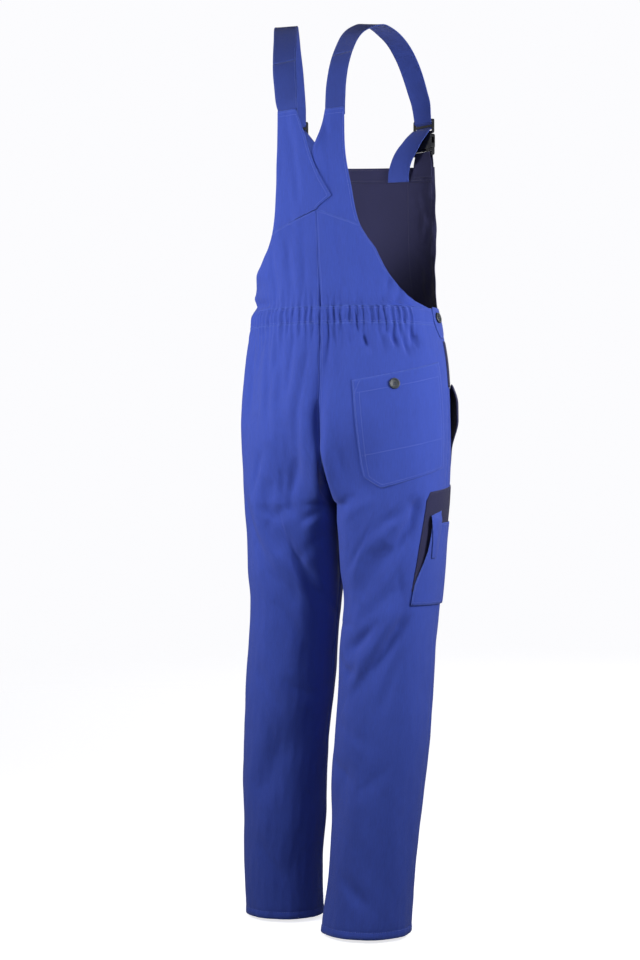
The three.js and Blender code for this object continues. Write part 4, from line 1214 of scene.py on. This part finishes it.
BACK_POCKET = [
    [-582, 0.205, 0.86, -550],
    [-604, 0.215, 0.875, -573],
    [-632, 0.225, 0.885, -601],
    [-660, 0.232, 0.893, -629],
    [-688, 0.238, 0.9, -657],
    [-712, 0.246, 0.904, -682],
    [-733, 0.262, 0.907, -702],
    [-742, 0.32, 0.908, -709],
    [-750, 0.385, 0.909, -717],
]


def add_back_pocket():
    sheet = laid_sheet(-1, BACK_POCKET, 62, 60, POCKET_CLOTH)
    piece = cloth_piece("back_pocket_cloth", sheet, POCKET_CLOTH, ROYAL)
    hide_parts("back_pocket")
    lines = [
        inset_line(sheet, [(0.012, 0.01), (0.012, 0.74), (0.014, 0.985), (0.98, 0.985), (0.985, 0.01)]),
        inset_line(sheet, [(0.055, 0.12), (0.055, 0.73), (0.06, 0.945), (0.94, 0.945), (0.945, 0.12)]),
        inset_line(sheet, [(0.012, 0.115), (0.985, 0.115)]),
        inset_line(sheet, [(0.02, 0.56), (0.98, 0.56)]),
        inset_line(sheet, [(0.012, 0.115), (0.07, 0.012)]),
        inset_line(sheet, [(0.985, 0.115), (0.93, 0.012)]),
    ]
    thread = add_stitching("back_pocket_stitching", lines, THREAD_ROYAL)
    add_button("back_pocket_button", -1, 0.467, -586.5, 2 * LAY_GAP + POCKET_CLOTH - 0.6)


def add_laid(node, sheet, thickness, material, thread_material_used, lines):
    piece = cloth_piece(f"{node}_cloth", sheet, thickness, material)
    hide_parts(node)
    thread = add_stitching(f"{node}_stitching", lines, thread_material_used)


def add_side_opening(side):
    name = SIDE_NAME[side]
    tab = [
        [-462, 0.9, 1.07],
        [-472, 0.89, 1.09],
        [-484, 0.888, 1.095],
        [-494, 0.9, 1.09],
        [-504, 0.93, 1.06],
        [-510, 0.955, 1.03],
    ]
    sheet = laid_sheet(side, tab, 26, 18, CLOTH)
    lines = [inset_line(sheet, [(0.06, 0.05), (0.06, 0.93), (0.94, 0.93), (0.94, 0.05), (0.06, 0.05)])]
    add_laid(f"side_tab_{name}", sheet, CLOTH, ROYAL, THREAD_ROYAL, lines)
    add_button(f"side_button_{name}", side, 0.957, -479, 2 * LAY_GAP + CLOTH - 0.6)
    placket = [[-515, 1.015, 1.085], [-588, 1.015, 1.085]]
    sheet = laid_sheet(side, placket, 22, 10, POCKET_CLOTH)
    lines = [inset_line(sheet, [(0.85, 0.03), (0.85, 0.97)])]
    add_laid(f"side_placket_{name}", sheet, POCKET_CLOTH, NAVY, THREAD_NAVY, lines)


HIP_POCKET = [
    [-584, 1.06, 1.2],
    [-598, 1.055, 1.3],
    [-616, 1.055, 1.38],
    [-636, 1.06, 1.43],
    [-656, 1.08, 1.46],
    [-674, 1.13, 1.47],
    [-700, 1.19, 1.47],
    [-722, 1.23, 1.46],
    [-734, 1.27, 1.44],
]


def add_hip_pocket(side):
    name = SIDE_NAME[side]

    def stand(around, height):
        return 11 * ease((1.36 - around) / 0.24) * ease(1.25 - np.abs(height + 628) / 50)
    sheet = laid_sheet(side, HIP_POCKET, 48, 34, POCKET_CLOTH, LAY_GAP, stand)
    lines = [inset_line(sheet, [(0.04, 0.03), (0.04, 0.97), (0.96, 0.97), (0.96, 0.03)])]
    add_laid(f"hip_pocket_{name}", sheet, POCKET_CLOTH, NAVY, THREAD_NAVY, lines)


THIGH_INSERT = [
    [-756, 0.775, 1.3, -742],
    [-770, 0.741, 1.3, -760],
    [-790, 0.734, 1.3, -784],
    [-812, 0.73, 1.3, -808],
    [-850, 0.728, 1.3, -848],
    [-885, 0.728, 1.3],
    [-912, 0.728, 1.3],
]
THIGH_FRONT = [
    [-806, 0.83, 1.31, -802],
    [-813, 0.79, 1.31, -811],
    [-830, 0.786, 1.31],
    [-850, 0.783, 1.31],
    [-870, 0.767, 1.31],
    [-889, 0.746, 1.31],
    [-904, 0.735, 1.31],
    [-934, 0.733, 1.31],
]
TOOL_LOOP = [
    [-793, 0.783, 0.909, -786],
    [-801, 0.777, 0.909],
    [-815, 0.788, 0.91],
    [-832, 0.8, 0.905],
    [-848, 0.81, 0.89],
    [-860, 0.818, 0.865],
]


def add_thigh_pocket():
    sheet = laid_sheet(-1, THIGH_INSERT, 38, 42, POCKET_CLOTH)
    lines = [inset_line(sheet, [(0.015, 0.98), (0.015, 0.03), (0.985, 0.03), (0.985, 0.98)])]
    add_laid("thigh_pocket_insert", sheet, POCKET_CLOTH, NAVY, THREAD_NAVY, lines)
    base = 2 * LAY_GAP + POCKET_CLOTH

    def stand(around, height):
        return 6 * ease((0.93 - around) / 0.12) * ease(1 - np.abs(height + 830) / 70)

    def clear(around, height):
        return mix(POCKET_CLOTH + SEAM_GAP, base + POCKET_CLOTH + stand(around, height), ease((-788 - height) / 12))
    sheet = laid_sheet(-1, THIGH_FRONT, 46, 46, POCKET_CLOTH, base, stand)
    lines = [
        inset_line(sheet, [(0.015, 0.04), (0.015, 0.98), (0.985, 0.98), (0.985, 0.04)]),
        inset_line(sheet, [(0.02, 0.06), (0.98, 0.06)]),
    ]
    add_laid("thigh_pocket_front", sheet, POCKET_CLOTH, ROYAL, THREAD_ROYAL, lines)
    sheet = laid_sheet(-1, TOOL_LOOP, 26, 12, POCKET_CLOTH, LAY_GAP, clear, 0.1)
    lines = [inset_line(sheet, [(0.12, 0.06), (0.88, 0.06)]), inset_line(sheet, [(0.12, 0.1), (0.88, 0.1)])]
    add_laid("tool_loop", sheet, POCKET_CLOTH, ROYAL, THREAD_ROYAL, lines)


def add_floor():
    build = bmesh.new()
    bmesh.ops.create_circle(build, cap_ends=True, segments=96, radius=9)
    mesh = bpy.data.meshes.new("floor")
    build.to_mesh(mesh)
    build.free()
    floor = bpy.data.objects.new("floor", mesh)
    floor.location = (0, 0, HEM * MM - 0.006)
    bpy.context.collection.objects.link(floor)
    material, shader = new_material("floor", (0.6, 0.6, 0.61), 0.9)
    shader.inputs["Emission Color"].default_value = (0.97, 0.97, 1, 1)
    shader.inputs["Emission Strength"].default_value = 0.78
    place = add_node(material, "ShaderNodeTexCoord").outputs["Object"]
    away = add_node(material, "ShaderNodeVectorMath", operation="LENGTH")
    link(material, place, away.inputs[0])
    fade = mapped(material, away.outputs["Value"], 0.5, 6, 1, 0)
    fade.node.interpolation_type = "SMOOTHERSTEP"
    link(material, fade, shader.inputs["Alpha"])
    mesh.materials.append(material)
    floor.visible_diffuse = False
    floor.visible_glossy = False


def add_light(name, location, target, size, power, colour):
    data = bpy.data.lights.new(name, "AREA")
    data.shape = "RECTANGLE"
    data.size, data.size_y = size
    data.energy = power
    data.color = colour
    light = bpy.data.objects.new(name, data)
    light.location = location
    aim = np.array(target, float) - np.array(location, float)
    flat = math.hypot(aim[0], aim[1])
    light.rotation_euler = (math.atan2(flat, -aim[2]), 0, math.atan2(-aim[0], aim[1]))
    bpy.context.collection.objects.link(light)


VIEW_TURN = math.radians(20)
CAMERA_AWAY = 3.2
CAMERA_HEIGHT = -0.737
FOCAL_PIXELS = 1962
FRAME_HEIGHT = 960
AIM_PIXELS = 22.5
ROOM_LIGHT = 0.1


def add_camera():
    data = bpy.data.cameras.new("camera")
    data.sensor_width = 36
    data.lens = FOCAL_PIXELS * data.sensor_width / FRAME_HEIGHT
    camera = bpy.data.objects.new("camera", data)
    camera.location = (-CAMERA_AWAY * math.sin(VIEW_TURN), CAMERA_AWAY * math.cos(VIEW_TURN), CAMERA_HEIGHT)
    aim = math.atan(AIM_PIXELS / FOCAL_PIXELS)
    camera.rotation_euler = (math.pi / 2, 0, math.pi + VIEW_TURN + aim)
    bpy.context.collection.objects.link(camera)
    bpy.context.scene.camera = camera


def add_world():
    world = bpy.data.worlds.new("world")
    world.use_nodes = True
    tree = world.node_tree
    background = tree.nodes["Background"]
    background.inputs["Color"].default_value = (0.972, 0.972, 0.992, 1)
    path = tree.nodes.new("ShaderNodeLightPath")
    strength = tree.nodes.new("ShaderNodeMapRange")
    strength.inputs["To Min"].default_value = ROOM_LIGHT
    strength.inputs["To Max"].default_value = 1
    tree.links.new(path.outputs["Is Camera Ray"], strength.inputs["Value"])
    tree.links.new(strength.outputs["Result"], background.inputs["Strength"])
    bpy.context.scene.world = world
    bpy.context.scene.view_settings.view_transform = "Standard"


add_camera()
add_world()
add_floor()
add_light("left_box", (0.82, 0.86, -0.4), (0.02, 0.02, -0.38), (0.4, 0.6), 16, (1, 1, 1))
add_light("right_box", (-1.16, 0.26, -0.4), (-0.02, 0.02, -0.38), (0.4, 0.6), 16, (1, 1, 1))
add_light("top_box", (-0.68, 1.88, 0.4), (0, 0, -0.55), (0.8, 0.8), 9, (1, 1, 1))
add_light("front_box", (0.3, -5, 0.9), (0, 0, -0.7), (3, 3), 80, (1, 1, 1))

add_casing()
add_bib()
add_back_pocket()
add_thigh_pocket()
for each_side in (1, -1):
    add_trousers(each_side)
    add_bodice(each_side)
    add_crossed(each_side)
    add_straps(each_side)
    add_buckle(each_side)
    add_side_opening(each_side)
    add_hip_pocket(each_side)
